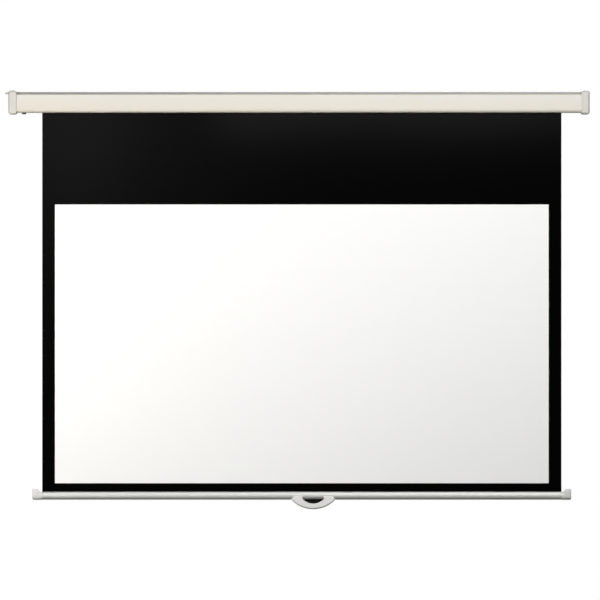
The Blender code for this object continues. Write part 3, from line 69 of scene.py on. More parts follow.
MM = 0.001
TAU = math.tau
QUARTER = math.pi / 2
UP = (0, 0, 1)
SIDES = (("left", -1), ("right", 1))
FINE = 0.02 * MM            # two pieces that touch stand this far apart
SEAT = 0.3 * MM             # room round a piece that sits in another
OVER = 5 * MM               # how far a cutter reaches past what it cuts
WELD = 0.002 * MM
SHARP = math.radians(32)


def span(node):
    """A CAD node's lowest and highest corners as arrays."""
    low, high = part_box(node)
    return np.array(low), np.array(high)


def middle_of(node):
    """The middle of a CAD node's box."""
    return np.mean(span(node), axis=0)


def half_of(node):
    """Half of a CAD node's size, along X, Y and Z."""
    low, high = span(node)
    return (high - low) / 2


def end_of(node, side):
    """Where a CAD node ends along X: at its left for side -1, at its right for side 1."""
    low, high = span(node)
    return high[0] if side > 0 else low[0]


def foot_of(node, carrier):
    """The point under a node's middle at the height of its carrier's bottom."""
    return np.array([*middle_of(node)[:2], span(carrier)[0][2]])


def joint(name):
    """A joint's row in the frame."""
    return next(row for row in frame["joints"] if row["name"] == name)


def linear(hex_colour):
    """Linear red, green and blue of an sRGB hex colour."""
    channels = [int(hex_colour[i:i + 2], 16) / 255 for i in (0, 2, 4)]
    return tuple(c / 12.92 if c <= 0.04045 else ((c + 0.055) / 1.055) ** 2.4 for c in channels)


def length(name, description, default):
    """A length that a user can change."""
    return bpy.props.FloatProperty(name=name, description=description, default=default, unit="LENGTH",
                                   precision=5)


def colour(name, description, hex_colour):
    """A colour that a user can change."""
    return bpy.props.FloatVectorProperty(name=name, description=description, default=linear(hex_colour),
                                         subtype="COLOR", size=3, min=0.0, max=1.0)


class PULLSCREEN_PG_sizes(bpy.types.PropertyGroup):
    """Sizes that the frame's boxes don't give by themselves."""

    case_wall: length("Casing wall", "Thickness of the casing's sheet", 1.6 * MM)
    case_corner: length("Casing corner", "Outside radius of the casing's corners", 3.0 * MM)
    case_front_corner: length("Lower front corner", "Outside radius of the lower front corner", 12.0 * MM)
    slot_width: length("Slot width", "Width of the slot that the cloth hangs through", 14.0 * MM)
    slot_lip: length("Slot lip", "Height of the slot's turned-in lips", 5.0 * MM)
    rail_sole: length("Rail sole", "How far the rail's sole runs back under it", 30.0 * MM)
    cap_round: length("Cap round", "Outside radius of the end caps' edges", 9.0 * MM)
    cap_wall: length("Cap wall", "Thickness of the end caps", 2.6 * MM)
    bracket_wall: length("Hook sheet", "Thickness of the wall brackets", 2.5 * MM)
    cloth_curl: length("Cloth curl", "How far the cloth's side edges curl back", 1.6 * MM)
    cloth_wave: length("Cloth wave", "Depth of the shallow waves across the cloth", 0.35 * MM)
    roll_pitch: length("Winding pitch", "Radius that each turn adds on the roller", 0.8 * MM)
    hem_weld: length("Hem weld", "Height of the hem's fold, welded in front above the bar", 20.0 * MM)
    handle_edge: length("Handle edge", "Width of the handle's rounded edge", 3.6 * MM)


class PULLSCREEN_PG_colours(bpy.types.PropertyGroup):
    """Colours of the finishes."""

    coat: colour("Casing", "Off-white powder coat", "dad7cf")
    # Painted shade: a darker, warmer copy of the coat, blended in towards the casing's lower edge
    coat_painted_shade: colour("Casing, lower", "The coat where it has yellowed a little", "d7d1c4")
    rail: colour("Rail", "Grey anodised rail", "a0a19a")
    moulding: colour("Caps", "Light grey moulded plastic", "cbc9c1")
    picture: colour("Picture area", "Matt white viewing surface", "fafaf9")
    cloth: colour("Borders", "Black backing and borders", "040404")
    bar: colour("Weight bar", "Clear anodised aluminium", "d0d0ce")
    handle: colour("Handle", "Light grey moulded handle", "eaeae8")
    black: colour("Finger cup", "Black moulded plastic", "040404")


def sizes():
    return bpy.context.scene.pull_screen_sizes


def colours():
    return bpy.context.scene.pull_screen_colours


# Surfaces

def unit(rows):
    """Each row scaled to length 1."""
    return rows / np.maximum(np.linalg.norm(rows, axis=1), 1e-9)[:, None]


def outline(corners, steps=8):
    """A closed outline from corners (u, v, radius): an arc tangent to both sides rounds each corner.

    The arc's centre lies on the corner's bisector, at radius / sin(half the angle between the sides).
    """
    corners = np.array(corners, float)
    places, radii = corners[:, :2], corners[:, 2]
    back, ahead = [unit(np.roll(places, way, axis=0) - places) for way in (1, -1)]
    half = np.arccos(np.clip((back * ahead).sum(axis=1), -1, 1)) / 2
    centre = places + unit(back + ahead) * (radii / np.sin(half))[:, None]
    first, last = [places + way * (radii / np.tan(half))[:, None] - centre for way in (back, ahead)]
    turn = np.arctan2(first[:, 0] * last[:, 1] - first[:, 1] * last[:, 0], (first * last).sum(axis=1))
    start = np.arctan2(first[:, 1], first[:, 0])
    angle = start[:, None] + turn[:, None] * np.linspace(0, 1, steps + 1)
    arcs = centre[:, None] + radii[:, None, None] * np.stack([np.cos(angle), np.sin(angle)], axis=-1)
    kept = (radii[:, None] > 0) | (np.arange(steps + 1) == 0)
    return arcs[kept]


def arc(centre, radius, start, end, steps):
    """Points on a circle from one angle to another."""
    angle = np.linspace(start, end, steps + 1)
    return np.column_stack([centre[0] + radius * np.cos(angle), centre[1] + radius * np.sin(angle)])


def sharp(points):
    """Outline corners without a radius."""
    return np.column_stack([points, np.zeros(len(points))])


def ease(share):
    """The smooth step s * s * (3 - 2 s)."""
    return share * share * (3 - 2 * share)


def strip(path, thickness):
    """The outline of a bent sheet: an open path moved half a thickness to each side along its mitres."""
    ahead = unit(np.diff(path, axis=0))
    normal = np.column_stack([-ahead[:, 1], ahead[:, 0]])
    before = np.vstack([normal[:1], normal])
    after = np.vstack([normal, normal[-1:]])
    mitre = (before + after) / (1 + (before * after).sum(axis=1))[:, None]
    return np.vstack([path + mitre * thickness / 2, (path - mitre * thickness / 2)[::-1]])


def quads(rows, columns):
    """Corner numbers of the quads of a grid of rows by columns, each row closed on itself."""
    row, column = np.meshgrid(np.arange(rows - 1), np.arange(columns), indexing="ij")
    here, beside = row * columns + column, row * columns + (column + 1) % columns
    return np.stack([here, beside, beside + columns, here + columns], axis=-1).reshape(-1, 4).tolist()


def tube_of(rings):
    """A surface through rings of points, each closed on itself, with flat caps on the first and last."""
    rows, columns = rings.shape[:2]
    caps = [list(range(columns))[::-1], list(range((rows - 1) * columns, rows * columns))]
    return rings.reshape(-1, 3), quads(rows, columns) + caps


def along_x(loop, node, over=0.0, stations=2):
    """A profile (y, z) carried along X from one end of a CAD node to the other, and past both by over."""
    low, high = span(node)
    rings = np.empty((stations, len(loop), 3))
    rings[..., 0] = np.linspace(low[0] - over, high[0] + over, stations)[:, None]
    rings[..., 1:] = loop
    return tube_of(rings)


def square_to(axis):
    """The axis as an array, with two directions square to it and to each other."""
    axis = np.array(axis, float)
    u = np.array([0.0, 0.0, 1.0]) if abs(axis[2]) < 0.5 else np.array([1.0, 0.0, 0.0])
    return axis, u, np.cross(axis, u)


def turned(profile, centre, axis, steps=64, flutes=0, flute_depth=0.0):
    """A profile (along, radius) turned about an axis through centre.

    The point at angle a is centre + along * axis + radius * (cos a * u + sin a * v). Flutes take
    flute_depth * (1 + cos(flutes * a)) / 2 off the largest radius.
    """
    axis, u, v = square_to(axis)
    along, radius = np.array(profile, float).T
    angle = np.linspace(0, TAU, steps, endpoint=False)
    widest = (radius >= radius.max() * 0.9)[:, None]
    spread = radius[:, None] - flute_depth * (1 + np.cos(flutes * angle)) / 2 * widest
    ring = np.cos(angle)[:, None] * u + np.sin(angle)[:, None] * v
    return tube_of(centre + along[:, None, None] * axis + spread[..., None] * ring)


def drill(start, end, radius):
    """Profile of a round hole that runs from start to end along its axis."""
    return [(start, 0.0), (start, radius), (end, radius), (end, 0.0)]


def four_corners(steps):
    """The angles round a rectangle's four rounded corners, and on which side of it each one lies."""
    quarter = np.linspace(0, QUARTER, steps + 1)
    angle = np.concatenate([quarter + k * QUARTER for k in range(4)])
    return angle, np.repeat([1, -1, -1, 1], steps + 1), np.repeat([1, 1, -1, -1], steps + 1)


def round_box(low, high, radius, steps=6):
    """A box with round edges: each octant of a sphere is moved out to its own corner of the core."""
    low, high = np.array(low, float), np.array(high, float)
    around, side_u, side_v = four_corners(steps)
    quarter = around[:steps + 1]
    up = np.concatenate([quarter - QUARTER, quarter])
    side_w = np.repeat([-1, 1], steps + 1)
    core = (high - low) / 2 - radius
    rings = np.empty((len(up), len(around), 3))
    rings[..., 0] = side_u * core[0] + radius * np.cos(up)[:, None] * np.cos(around)
    rings[..., 1] = side_v * core[1] + radius * np.cos(up)[:, None] * np.sin(around)
    rings[..., 2] = (side_w * core[2] + radius * np.sin(up))[:, None]
    return tube_of(rings + (low + high) / 2)


def in_scene(name, data):
    """A new object in the scene."""
    obj = bpy.data.objects.new(name, data)
    bpy.context.scene.collection.objects.link(obj)
    return obj


def shape(name, *parts):
    """An object at the origin from several (points, faces), with doubles merged and faces outwards."""
    points, faces, count = [], [], 0
    for part_points, part_faces in parts:
        points.append(part_points)
        faces += [[number + count for number in face] for face in part_faces]
        count += len(part_points)
    mesh = bpy.data.meshes.new(name)
    mesh.from_pydata(np.concatenate(points), [], faces)
    work = bmesh.new()
    work.from_mesh(mesh)
    bmesh.ops.remove_doubles(work, verts=work.verts, dist=WELD)
    bmesh.ops.recalc_face_normals(work, faces=work.faces)
    work.to_mesh(mesh)
    work.free()
    return in_scene(name, mesh)


def settle(obj):
    """Gives an object the mesh that its modifiers make."""
    finished = bpy.data.meshes.new_from_object(obj.evaluated_get(bpy.context.evaluated_depsgraph_get()))
    finished.name = obj.name
    obj.modifiers.clear()
    obj.data = finished


def carve(obj, *cutters):
    """Cuts closed shapes out of an object."""
    for number, part in enumerate(cutters):
        cutter = shape(f"cutter_{number}", part)
        step = obj.modifiers.new("cut", "BOOLEAN")
        step.operation = "DIFFERENCE"
        step.object = cutter
        settle(obj)
        bpy.data.objects.remove(cutter)


def soften(obj, width, segments):
    """Rounds an object's sharp edges a little."""
    edge = obj.modifiers.new("edge", "BEVEL")
    edge.width = width
    edge.segments = segments
    edge.limit_method = "ANGLE"
    edge.angle_limit = math.radians(50)
    edge.use_clamp_overlap = True
    settle(obj)


def dress(obj, body, slot, node, finish=None):
    """Shades a finished piece, gives it its slot's finish or another, and hangs it on its body.

    The piece stands for a CAD node.
    """
    obj.data.materials.clear()
    obj.data.materials.append(MATERIALS[finish or slot])
    obj.data.shade_smooth()
    obj.data.set_sharp_from_angle(angle=SHARP)
    even = obj.modifiers.new("even shading", "WEIGHTED_NORMAL")
    even.keep_sharp = True
    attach(obj, body)
    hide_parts(node)
    return obj


# Materials

MATERIALS = {}
MIX_FACTOR, MIX_FIRST, MIX_SECOND = 0, 6, 7     # a Mix node's sockets by number, as their names repeat


def per(millimetres):
    """Scale of a noise or cell pattern whose blobs are this many millimetres across."""
    return 1 / (millimetres * MM)


def feed(tree, node, inputs):
    """Gives each socket a value or an output; a node stands for the output that its settings leave it."""
    for name, value in inputs.items():
        socket = node.inputs[name]
        if isinstance(value, bpy.types.Node):
            value = next(output for output in value.outputs if output.enabled)
        if isinstance(value, bpy.types.NodeSocket):
            tree.links.new(value, socket)
        elif socket.type == "RGBA":
            socket.default_value = (*value, 1.0)
        else:
            socket.default_value = value


def add(tree, kind, inputs=None, **settings):
    """Adds a shader node with its settings and links."""
    node = tree.nodes.new("ShaderNode" + kind)
    for key, value in settings.items():
        setattr(node, key, value)
    feed(tree, node, inputs or {})
    return node


def blank(name):
    """A new material with a Principled shader; gives the material, its tree and Object coordinates."""
    material = bpy.data.materials.new(name)
    material.use_nodes = True
    tree = material.node_tree
    return material, tree, add(tree, "TexCoord").outputs["Object"]


def streaks(tree, place, stretch, across_mm, detail):
    """A noise of this width in millimetres, drawn out along the axes where stretch is less than 1."""
    drawn = add(tree, "Mapping", {"Vector": place, "Scale": stretch})
    return add(tree, "TexNoise", {"Vector": drawn, "Scale": per(across_mm), "Detail": detail})


def surfaced(material, tones, mottle, rough, cloud, bump, grain, **sockets):
    """Links a material's patterns to its shader, sets its other sockets, and gives the material.

    Mottle blends the two tones, and cloud swings the roughness between its two values. Grain is the
    bump's height, and bump its strength and its depth in millimetres.
    """
    tree = material.node_tree
    shader = tree.nodes["Principled BSDF"]
    tone = add(tree, "Mix", {MIX_FACTOR: mottle, MIX_FIRST: tones[0], MIX_SECOND: tones[1]},
               data_type="RGBA")
    gloss = add(tree, "MapRange", {"Value": cloud, "To Min": rough[0], "To Max": rough[1]})
    relief = add(tree, "Bump", {"Height": grain, "Strength": bump[0], "Distance": bump[1] * MM})
    feed(tree, shader, {"Base Color": tone, "Roughness": gloss, "Normal": relief})
    feed(tree, shader, {name.replace("_", " "): value for name, value in sockets.items()})
    return material


def shades(rgb, *factors):
    """A colour made darker or lighter by each factor."""
    return [tuple(min(channel * factor, 1.0) for channel in rgb) for factor in factors]


def powder_coat():
    # Polyester powder coat, sprayed and baked on aluminium: satin, with a faint orange peel a little
    # over a millimetre wide. Towards the lower edge it is painted darker and warmer, as painted shade
    # and warm bounce light.
    material, tree, place = blank("satin powder coat")
    peel = add(tree, "TexNoise", {"Vector": place, "Scale": per(1.4), "Detail": 2.0})
    cloud = add(tree, "TexNoise", {"Vector": place, "Scale": per(140), "Detail": 3.0})
    height = add(tree, "SeparateXYZ", {"Vector": place}).outputs["Z"]
    low, high = span("casing")
    # Painted shade and warm bounce light: 0 from 12 mm under the casing's top, rising to 1 at its bottom
    # edge; the cloud adds a little random mottle
    down = add(tree, "MapRange", {"Value": height, "From Min": high[2] - 12 * MM, "From Max": low[2]})
    drift = add(tree, "Math", {0: cloud, 1: 0.25}, operation="MULTIPLY")
    painted_shade_and_mottle = add(tree, "Math", {0: down, 1: drift}, operation="ADD", use_clamp=True)
    return surfaced(material, (colours().coat, colours().coat_painted_shade), painted_shade_and_mottle, (0.38, 0.48), cloud,
                    (0.25, 0.05), peel, IOR=1.5)


def anodised_rail():
    # Aluminium extrusion, grey anodised: dull metal with drawing lines along its length, about 0.6 mm
    # apart and half a metre long.
    material, tree, place = blank("grey anodised extrusion")
    lines = streaks(tree, place, (0.0012, 1.0, 1.0), 0.6, 4.0)
    return surfaced(material, shades(colours().rail, 0.9, 1.1), lines, (0.42, 0.56), lines,
                    (0.3, 0.02), lines, Metallic=0.1)


def moulded_plastic(name, base, rough, spark_mm, spark_depth, specular=0.5):
    """Injection moulded ABS with a spark-eroded grain of the given width and depth in millimetres."""
    # The grain scatters the light evenly, a slow mottle comes from the melt, and rubbed spots shine a
    # little more.
    material, tree, place = blank(name)
    spark = add(tree, "TexNoise", {"Vector": place, "Scale": per(spark_mm), "Detail": 3.0})
    melt = add(tree, "TexNoise", {"Vector": place, "Scale": per(25), "Detail": 2.0, "Distortion": 0.6})
    return surfaced(material, shades(base, 0.96, 1.03), melt, (rough - 0.06, rough + 0.06), melt,
                    (0.35, spark_depth), spark, IOR=1.53, Specular_IOR_Level=specular)


def coated_cloth(name, base, rough, specular, tone_spread, glaze=0.0):
    """Glass-fibre cloth coated with PVC on both faces."""
    # The coating is matt and shows the cloth's plain weave as an emboss. The real threads are 0.5 mm
    # apart, which is too fine to show, so they are drawn 1.2 mm apart. Rolling leaves faint bands
    # across the sheet, some tens of millimetres apart.
    material, tree, place = blank(name)
    threads = TAU / (20 * 1.2 * MM)             # a wave's period is TAU / (20 * scale)
    warp, weft = [add(tree, "TexWave", {"Vector": place, "Scale": threads},
                      bands_direction=way).outputs["Fac"] for way in "XZ"]
    weave = add(tree, "Math", {0: warp, 1: weft}, operation="MULTIPLY")
    fibre = add(tree, "TexNoise", {"Vector": place, "Scale": per(2.2), "Detail": 3.0})
    bands = streaks(tree, place, (0.05, 1.0, 1.0), 45, 2.0)
    return surfaced(material, shades(base, 1 - tone_spread, 1 + tone_spread), bands,
                    (rough - 0.05, rough + 0.05), fibre, (0.35, 0.03), weave, Specular_IOR_Level=specular,
                    Coat_Weight=glaze, Coat_Roughness=0.13)


def anodised_bar():
    # Extruded aluminium, brushed along its length and clear anodised: satin silver that draws the
    # lights out into long streaks. Lines 0.5 mm apart, some 300 mm long.
    material, tree, place = blank("clear anodised bar")
    brush = streaks(tree, place, (0.0017, 1.0, 1.0), 0.5, 4.0)
    handled = add(tree, "TexNoise", {"Vector": place, "Scale": per(90), "Detail": 4.0})
    return surfaced(material, shades(colours().bar, 0.93, 1.05), brush, (0.5, 0.57), handled,
                    (0.3, 0.02), brush, Metallic=0.62)


def zinc_plate():
    # Pressed steel, zinc plated and passivated: grey metal with a cloudy bluish bloom and cells a few
    # millimetres wide.
    material, tree, place = blank("zinc plated steel")
    cells = add(tree, "TexVoronoi", {"Vector": place, "Scale": per(4)})
    bloom = add(tree, "TexNoise", {"Vector": place, "Scale": per(18), "Detail": 4.0})
    mixed = add(tree, "Math", {0: cells, 1: bloom}, operation="MULTIPLY")
    return surfaced(material, (linear("a9adb0"), linear("d2d4d6")), mixed, (0.28, 0.45), bloom,
                    (0.2, 0.05), bloom, Metallic=0.95)


def drawn_steel(name, dark, light, rough):
    """Bar or wire steel, drawn through a die: bright metal with lines round it a third of a mm apart."""
    # The lines catch the light, and a thin film of oil leaves cloudy patches.
    material, tree, place = blank(name)
    lines = streaks(tree, place, (1.0, 0.05, 0.05), 0.35, 3.0)
    film = add(tree, "TexNoise", {"Vector": place, "Scale": per(9), "Detail": 3.0})
    return surfaced(material, (linear(dark), linear(light)), film, (rough - 0.07, rough + 0.08), film,
                    (0.3, 0.02), lines, Metallic=1.0)


def make_materials():
    """Every finish, kept by the name of its slot."""
    hues = colours()
    MATERIALS.update({
        "casing_enamel": powder_coat(),
        "rail": anodised_rail(),
        "end_plastic": moulded_plastic("moulded light grey caps", hues.moulding, 0.5, 0.7, 0.04),
        "bar_end_plastic": moulded_plastic("moulded bar ends", shades(hues.handle, 0.84)[0], 0.42, 0.7, 0.02),
        "handle_plastic": moulded_plastic("moulded handle", hues.handle, 0.42, 0.7, 0.02),
        "black_plastic": moulded_plastic("moulded black cup", hues.black, 0.6, 0.9, 0.05, 0.2),
        "dark_plastic": moulded_plastic("dark acetal", linear("55544f"), 0.5, 0.8, 0.03),
        "nylon": moulded_plastic("natural nylon", linear("e6e2d4"), 0.45, 1.2, 0.02),
        "white_screen": coated_cloth("matt white coated cloth", hues.picture, 0.85, 0.2, 0.006),
        "black_fabric": coated_cloth("black coated cloth", hues.cloth, 0.6, 0.0, 0.12, 0.06),
        "bar_metal": anodised_bar(),
        "zinc": zinc_plate(),
        "tube": zinc_plate(),
        "steel": drawn_steel("bright drawn steel", "a6a8aa", "d0d1d2", 0.3),
        "spring_steel": drawn_steel("oiled spring wire", "3d3f42", "6e7073", 0.38),
    })


# Casing

def screw_port(foot, way, stand):
    """A C-shaped screw port on a short web, as sharp corners of the casing's inner outline.

    Two arcs about the port's middle, joined at the mouth; way is the outline's direction at its foot.
    """
    bore, wall, mouth = 1.9 * MM, 1.5 * MM, math.radians(30)
    outer = bore + wall
    root = math.asin(wall / 2 / outer)
    ring = np.vstack([[-wall / 2, 0.0],
                      arc((0, stand), outer, -QUARTER - root, -QUARTER - math.pi + mouth, 12),
                      arc((0, stand), bore, QUARTER + mouth, QUARTER + TAU - mouth, 20),
                      arc((0, stand), outer, QUARTER - mouth, -QUARTER + root, 12),
                      [wall / 2, 0.0]])
    way = np.array(way, float)
    across = np.array([-way[1], way[0]])
    return sharp(np.array(foot) + ring[:, :1] * way + ring[:, 1:] * across)


def case_outline():
    """The casing's section: outside round from the slot, back along the inside past its two screw ports."""
    (_, front, bottom), (_, back, top) = span("casing")
    size = sizes()
    wall, corner, front_corner = size.case_wall, size.case_corner, size.case_front_corner
    lip, edge = bottom + size.slot_lip, 0.4 * MM
    middle = middle_of("screen_fabric")[1]
    near, far = middle - size.slot_width / 2, middle + size.slot_width / 2
    floor, roof = bottom + wall, top - wall
    upper, lower = middle_of("cap_screw_left_upper"), middle_of("cap_screw_left_lower")
    stand = roof - upper[2]
    return outline(np.vstack([
        [(near, bottom, edge), (front, bottom, front_corner), (front, top, corner), (back, top, corner),
         (back, bottom, corner), (far, bottom, edge), (far, lip, edge), (far + wall, lip, edge),
         (far + wall, floor, 0), (back - wall, floor, corner - wall), (back - wall, roof, corner - wall)],
        screw_port((upper[1], roof), (-1, 0), stand),
        [(front + wall, roof, corner - wall)],
        screw_port((front + wall, lower[2]), (0, -1), stand),
        [(front + wall, floor, front_corner - wall), (near - wall, floor, 0), (near - wall, lip, edge),
         (near, lip, edge)]]), 10)


def build_casing():
    """The casing: its section carried along X, with the thumb screw's hole drilled up through it."""
    hole_radius, reach = 2.8 * MM, 3 * sizes().case_wall
    casing = shape("casing_shell", along_x(case_outline(), "casing", stations=3))
    carve(casing, turned(drill(-reach, reach, hole_radius), foot_of("carrier_screw", "casing"), UP, 32))
    dress(casing, "case", "casing_enamel", "casing")


def build_carrier_screw():
    """The thumb screw under the casing: a fluted head with a dished face, and its shank inside."""
    low, high = span("carrier_screw")
    foot = foot_of("carrier_screw", "casing")
    radius, shank, bevel = half_of("carrier_screw")[0], 2.5 * MM, 0.8 * MM
    flutes, flute_depth = 24, 0.5 * MM
    top, face = high[2] - foot[2], low[2] - foot[2]
    upper = np.array([(-0.3, -0.8), (-0.7, -0.2), (-1.2, 0)]) * MM + (0, radius)
    lower = np.array([(1.7, 0), (0.9, -0.4), (0.3, -1.1), (0, -1.9), (0, -2.6), (0.7, -3.6)]) * MM
    profile = [(top, 0.0), (top, shank - bevel), (top - bevel, shank), (upper[0][0], shank), *upper,
               *(lower + (face, radius)), (face + 0.9 * MM, 0.0)]
    screw = shape("thumb_screw", turned(profile, foot, UP, 6 * flutes, flutes, flute_depth))
    dress(screw, "case", "dark_plastic", "carrier_screw")


def build_rail():
    """The hanging rail: a sheet bent into a channel, open at its back for the wall brackets."""
    low, high = span("hanging_rail")
    wall = sizes().case_wall
    lip_z = -4.4 * MM           # the lip that the hooks hold ends at this height
    front, sole, back, top = low[1] + wall / 2, low[2] + wall / 2, high[1] - wall / 2, high[2] - wall / 2
    path = [(low[1] + sizes().rail_sole, sole, 0), (front, sole, wall), (front, top, wall),
            (back, top, wall), (back, lip_z, 0)]
    rail = shape("rail_channel", along_x(strip(outline(path), wall), "hanging_rail"))
    soften(rail, 0.25 * MM, 1)
    dress(rail, "case", "rail", "hanging_rail")


def build_rail_lug():
    """The moulded tab in the rail's left end: a rounded head, and a shank inside the channel."""
    low, high = span("rail_lug_left")
    cap_face = end_of("end_cap_left", -1)
    slim, thin, overlap = 1.0 * MM, 1.5 * MM, 3 * MM
    lug = shape("rail_end_tab", round_box(low, (cap_face - SEAT, high[1], high[2]), 1.5 * MM),
                round_box((cap_face - overlap, low[1] + slim, low[2] + thin),
                          (high[0], high[1] - slim, high[2] - thin), 0.5 * MM, 3))
    dress(lug, "case", "end_plastic", "rail_lug_left")


def cap_rings(node, side):
    """Rings of an end cap, from its inside bottom out to its rim, back along the outside and round its end.

    Each ring is the cap's rounded rectangle drawn in by an inset. Round the end, at angle a, the
    inset is R (1 - cos a) and the place R (1 - sin a) short of the end. Towards the rim the wall thins
    and the top eases down, both by a smooth step, and the rim is a half circle across the wall.
    """
    radius, wall = sizes().cap_round, sizes().cap_wall
    depth, middle, core = 2 * half_of(node)[0], middle_of(node), half_of(node) - radius
    slope_length, slope_drop, slope_thin = 10.0 * MM, 2.6 * MM, 1.8 * MM
    steps = 10
    quarter, rim = np.linspace(0, QUARTER, steps + 1), np.linspace(0, math.pi, 9)
    straight = np.concatenate([np.linspace(0.1, 1, 8) * slope_length, [depth - radius]])
    inner_round, edge = radius - wall, wall - slope_thin
    reach = np.concatenate([
        (depth - radius + inner_round * np.sin(quarter))[::-1], straight[::-1][1:],
        edge / 2 * (1 - np.sin(rim)), straight, depth - radius + radius * np.sin(quarter[1:])])
    inset = np.concatenate([
        (wall + inner_round * (1 - np.cos(quarter)))[::-1], np.full(len(straight) - 1, wall),
        wall - edge / 2 * (1 - np.cos(rim)), slope_thin * ease(1 - np.clip(straight / slope_length, 0, 1)),
        radius * (1 - np.cos(quarter[1:]))])
    drop = slope_drop * ease(1 - np.clip(reach / slope_length, 0, 1))
    corner = np.maximum(radius - inset, 0)[:, None]
    turn, side_y, side_z = four_corners(steps)
    rings = np.empty((len(reach), len(turn), 3))
    rings[..., 0] = (end_of(node, side) - side * (depth - reach))[:, None]
    rings[..., 1] = middle[1] + side_y * core[1] + corner * np.cos(turn)
    rings[..., 2] = middle[2] + side_z * core[2] + corner * np.sin(turn) - drop[:, None] * (side_z > 0)
    return rings


def build_end_caps():
    """Moulded cups over the casing's ends, with two countersinks each and a window for the rail's tab."""
    wall, over, head, head_depth, shank = sizes().cap_wall, 2.0 * MM, 3.9 * MM, 2.0 * MM, 1.9 * MM
    sink = [(over, 0.0), (over, head), (0.0, head), (-head_depth, shank), (-wall - over, shank),
            (-wall - over, 0.0)]
    low, high = span("rail_lug_left")
    end, room = end_of("end_cap_left", -1), np.array((0, 0.7 * MM, 1.2 * MM))
    window = round_box((end - over, *(low + room)[1:]), (end + wall + over, *(high - room)[1:]), 0.3 * MM, 2)
    for place, side in SIDES:
        node = "end_cap_" + place
        cap = shape("end_cap_shell_" + place, tube_of(cap_rings(node, side)))
        ports = [middle_of(f"cap_screw_{place}_{which}") for which in ("upper", "lower")]
        carve(cap, *[turned(sink, (end_of(node, side), y, z), (side, 0, 0), 48) for _, y, z in ports])
        if place == "left":
            carve(cap, window)
        dress(cap, "case", "end_plastic", node)


def screw(name, centre, axis, radius, side_profile, dome=0.0):
    """A screw: a face with a cross recess, then a side profile (along, radius) down to its tip.

    The face's height is dome * (1 - (r / R) squared), less the recess where either of two crossed bars
    lies. A bar's share falls from 1 to 0 over a short ramp at its sides and ends.
    """
    steps, recess = 120, 1.2 * MM
    centre = np.array(centre)
    way, u, v = square_to(axis)
    r = radius * np.linspace(0, 1, 27)[:, None]
    angle = np.linspace(0, TAU, steps, endpoint=False)
    across, up = r * np.cos(angle), r * np.sin(angle)
    half_width, half_length, ramp = 0.17 * radius, 0.58 * radius, 0.07 * radius
    bars = [np.clip((half_width - abs(a)) / ramp + 0.5, 0, 1)
            * np.clip((half_length - abs(b)) / ramp + 0.5, 0, 1) for a, b in ((across, up), (up, across))]
    height = dome * (1 - (r / radius) ** 2) - recess * np.maximum(*bars)
    face = centre + height[..., None] * way + across[..., None] * u + up[..., None] * v
    side = turned(side_profile, centre, axis, steps)[0].reshape(len(side_profile), steps, 3)
    return shape(name, tube_of(np.concatenate([face, side])))


def build_cap_screws():
    """Four countersunk screws: a head that tapers to a thin shank, and a blunt tip."""
    shank, tip = 1.6 * MM, 0.6 * MM
    for place, side in SIDES:
        for which in ("upper", "lower"):
            node = f"cap_screw_{place}_{which}"
            _, y, z = middle_of(node)
            head, deep = half_of(node)[2], 2 * half_of(node)[0]
            profile = [(-0.15 * MM, head), (-1.6 * MM, shank), (-deep + shank, shank), (-deep, tip),
                       (-deep, 0.0)]
            made = screw(f"screw_{place}_{which}", (end_of(node, side), y, z), (side, 0, 0), head, profile)
            dress(made, "case", "zinc", node)


def build_wall_brackets():
    """Bent steel hooks: a plate with two screw holes, and a tongue that turns up inside the rail's lip."""
    wall = sizes().bracket_wall
    half = wall / 2
    toe = span("casing")[1][1] + SEAT
    tongue = -5.8 * MM - half
    outer_bend, inner_bend, hole_radius, hole_heights = 2.25 * MM, 1.65 * MM, 2.25 * MM, (-17 * MM, -41 * MM)
    for place, _ in SIDES:
        node = "wall_bracket_" + place
        low, high = span(node)
        path = [(toe, low[2] + half, 0), (-half, low[2] + half, outer_bend), (-half, tongue, outer_bend),
                (low[1] + half, tongue, inner_bend), (low[1] + half, high[2], 0)]
        hook = shape("wall_hook_" + place, along_x(strip(outline(path), wall), node))
        hole = drill(-2 * wall, 2 * wall, hole_radius)
        carve(hook, *[turned(hole, (middle_of(node)[0], -half, z), (0, -1, 0), 40) for z in hole_heights])
        soften(hook, 0.3 * MM, 2)
        dress(hook, "case", "zinc", node)


# Cloth

TURNS_LEFT = 2.5            # turns that stay on the roller
WAVES = ((5.3, 0.6, 0.0, 1.0), (9.1, -1.1, 2.2, 0.6))     # rate across, start, slant, share of the depth


def cloth_thickness():
    return 2 * half_of("screen_fabric")[1]


def sag(x, share):
    """How far the cloth stands back from its plane, at x and at a share of the way down.

    Side edges curl back with the sixth power of the distance from the middle. Two shallow waves run
    across, the second slanting. Roller and bar hold the cloth flat, so curl and waves both fade with the
    sine of the share to the power 0.8.
    """
    across = (x - middle_of("screen_fabric")[0]) / half_of("screen_fabric")[0]
    curl = sizes().cloth_curl * np.abs(across) ** 6
    waves = sum(depth * np.sin(rate * across + start + slant * share) for rate, start, slant, depth in WAVES)
    return (curl + sizes().cloth_wave * waves) * np.sin(np.pi * np.clip(share, 0, 1)) ** 0.8


def cloth_panel(low, high, front, back, columns, rows):
    """A sheet as a closed surface: two grids over (x, z), front and back, joined round their edges.

    Both follow the cloth's sag. The share runs from the whole cloth's top to its bottom.
    """
    cloth_low, cloth_high = span("screen_fabric")
    grid_x, grid_z = np.meshgrid(np.linspace(low[0], high[0], columns), np.linspace(high[2], low[2], rows))
    bend = sag(grid_x, (cloth_high[2] - grid_z) / (cloth_high[2] - cloth_low[2]))
    faces = [np.stack([grid_x, depth + bend, grid_z], axis=-1) for depth in (front, back)]
    joined = np.concatenate([faces[0], faces[1][:, ::-1]], axis=1)
    last = 2 * columns - 1
    top = [[i, last - i, last - 1 - i, i + 1] for i in range(columns - 1)]
    base = (rows - 1) * 2 * columns
    bottom = [[base + number for number in quad[::-1]] for quad in top]
    return joined.reshape(-1, 3), quads(rows, 2 * columns) + top + bottom


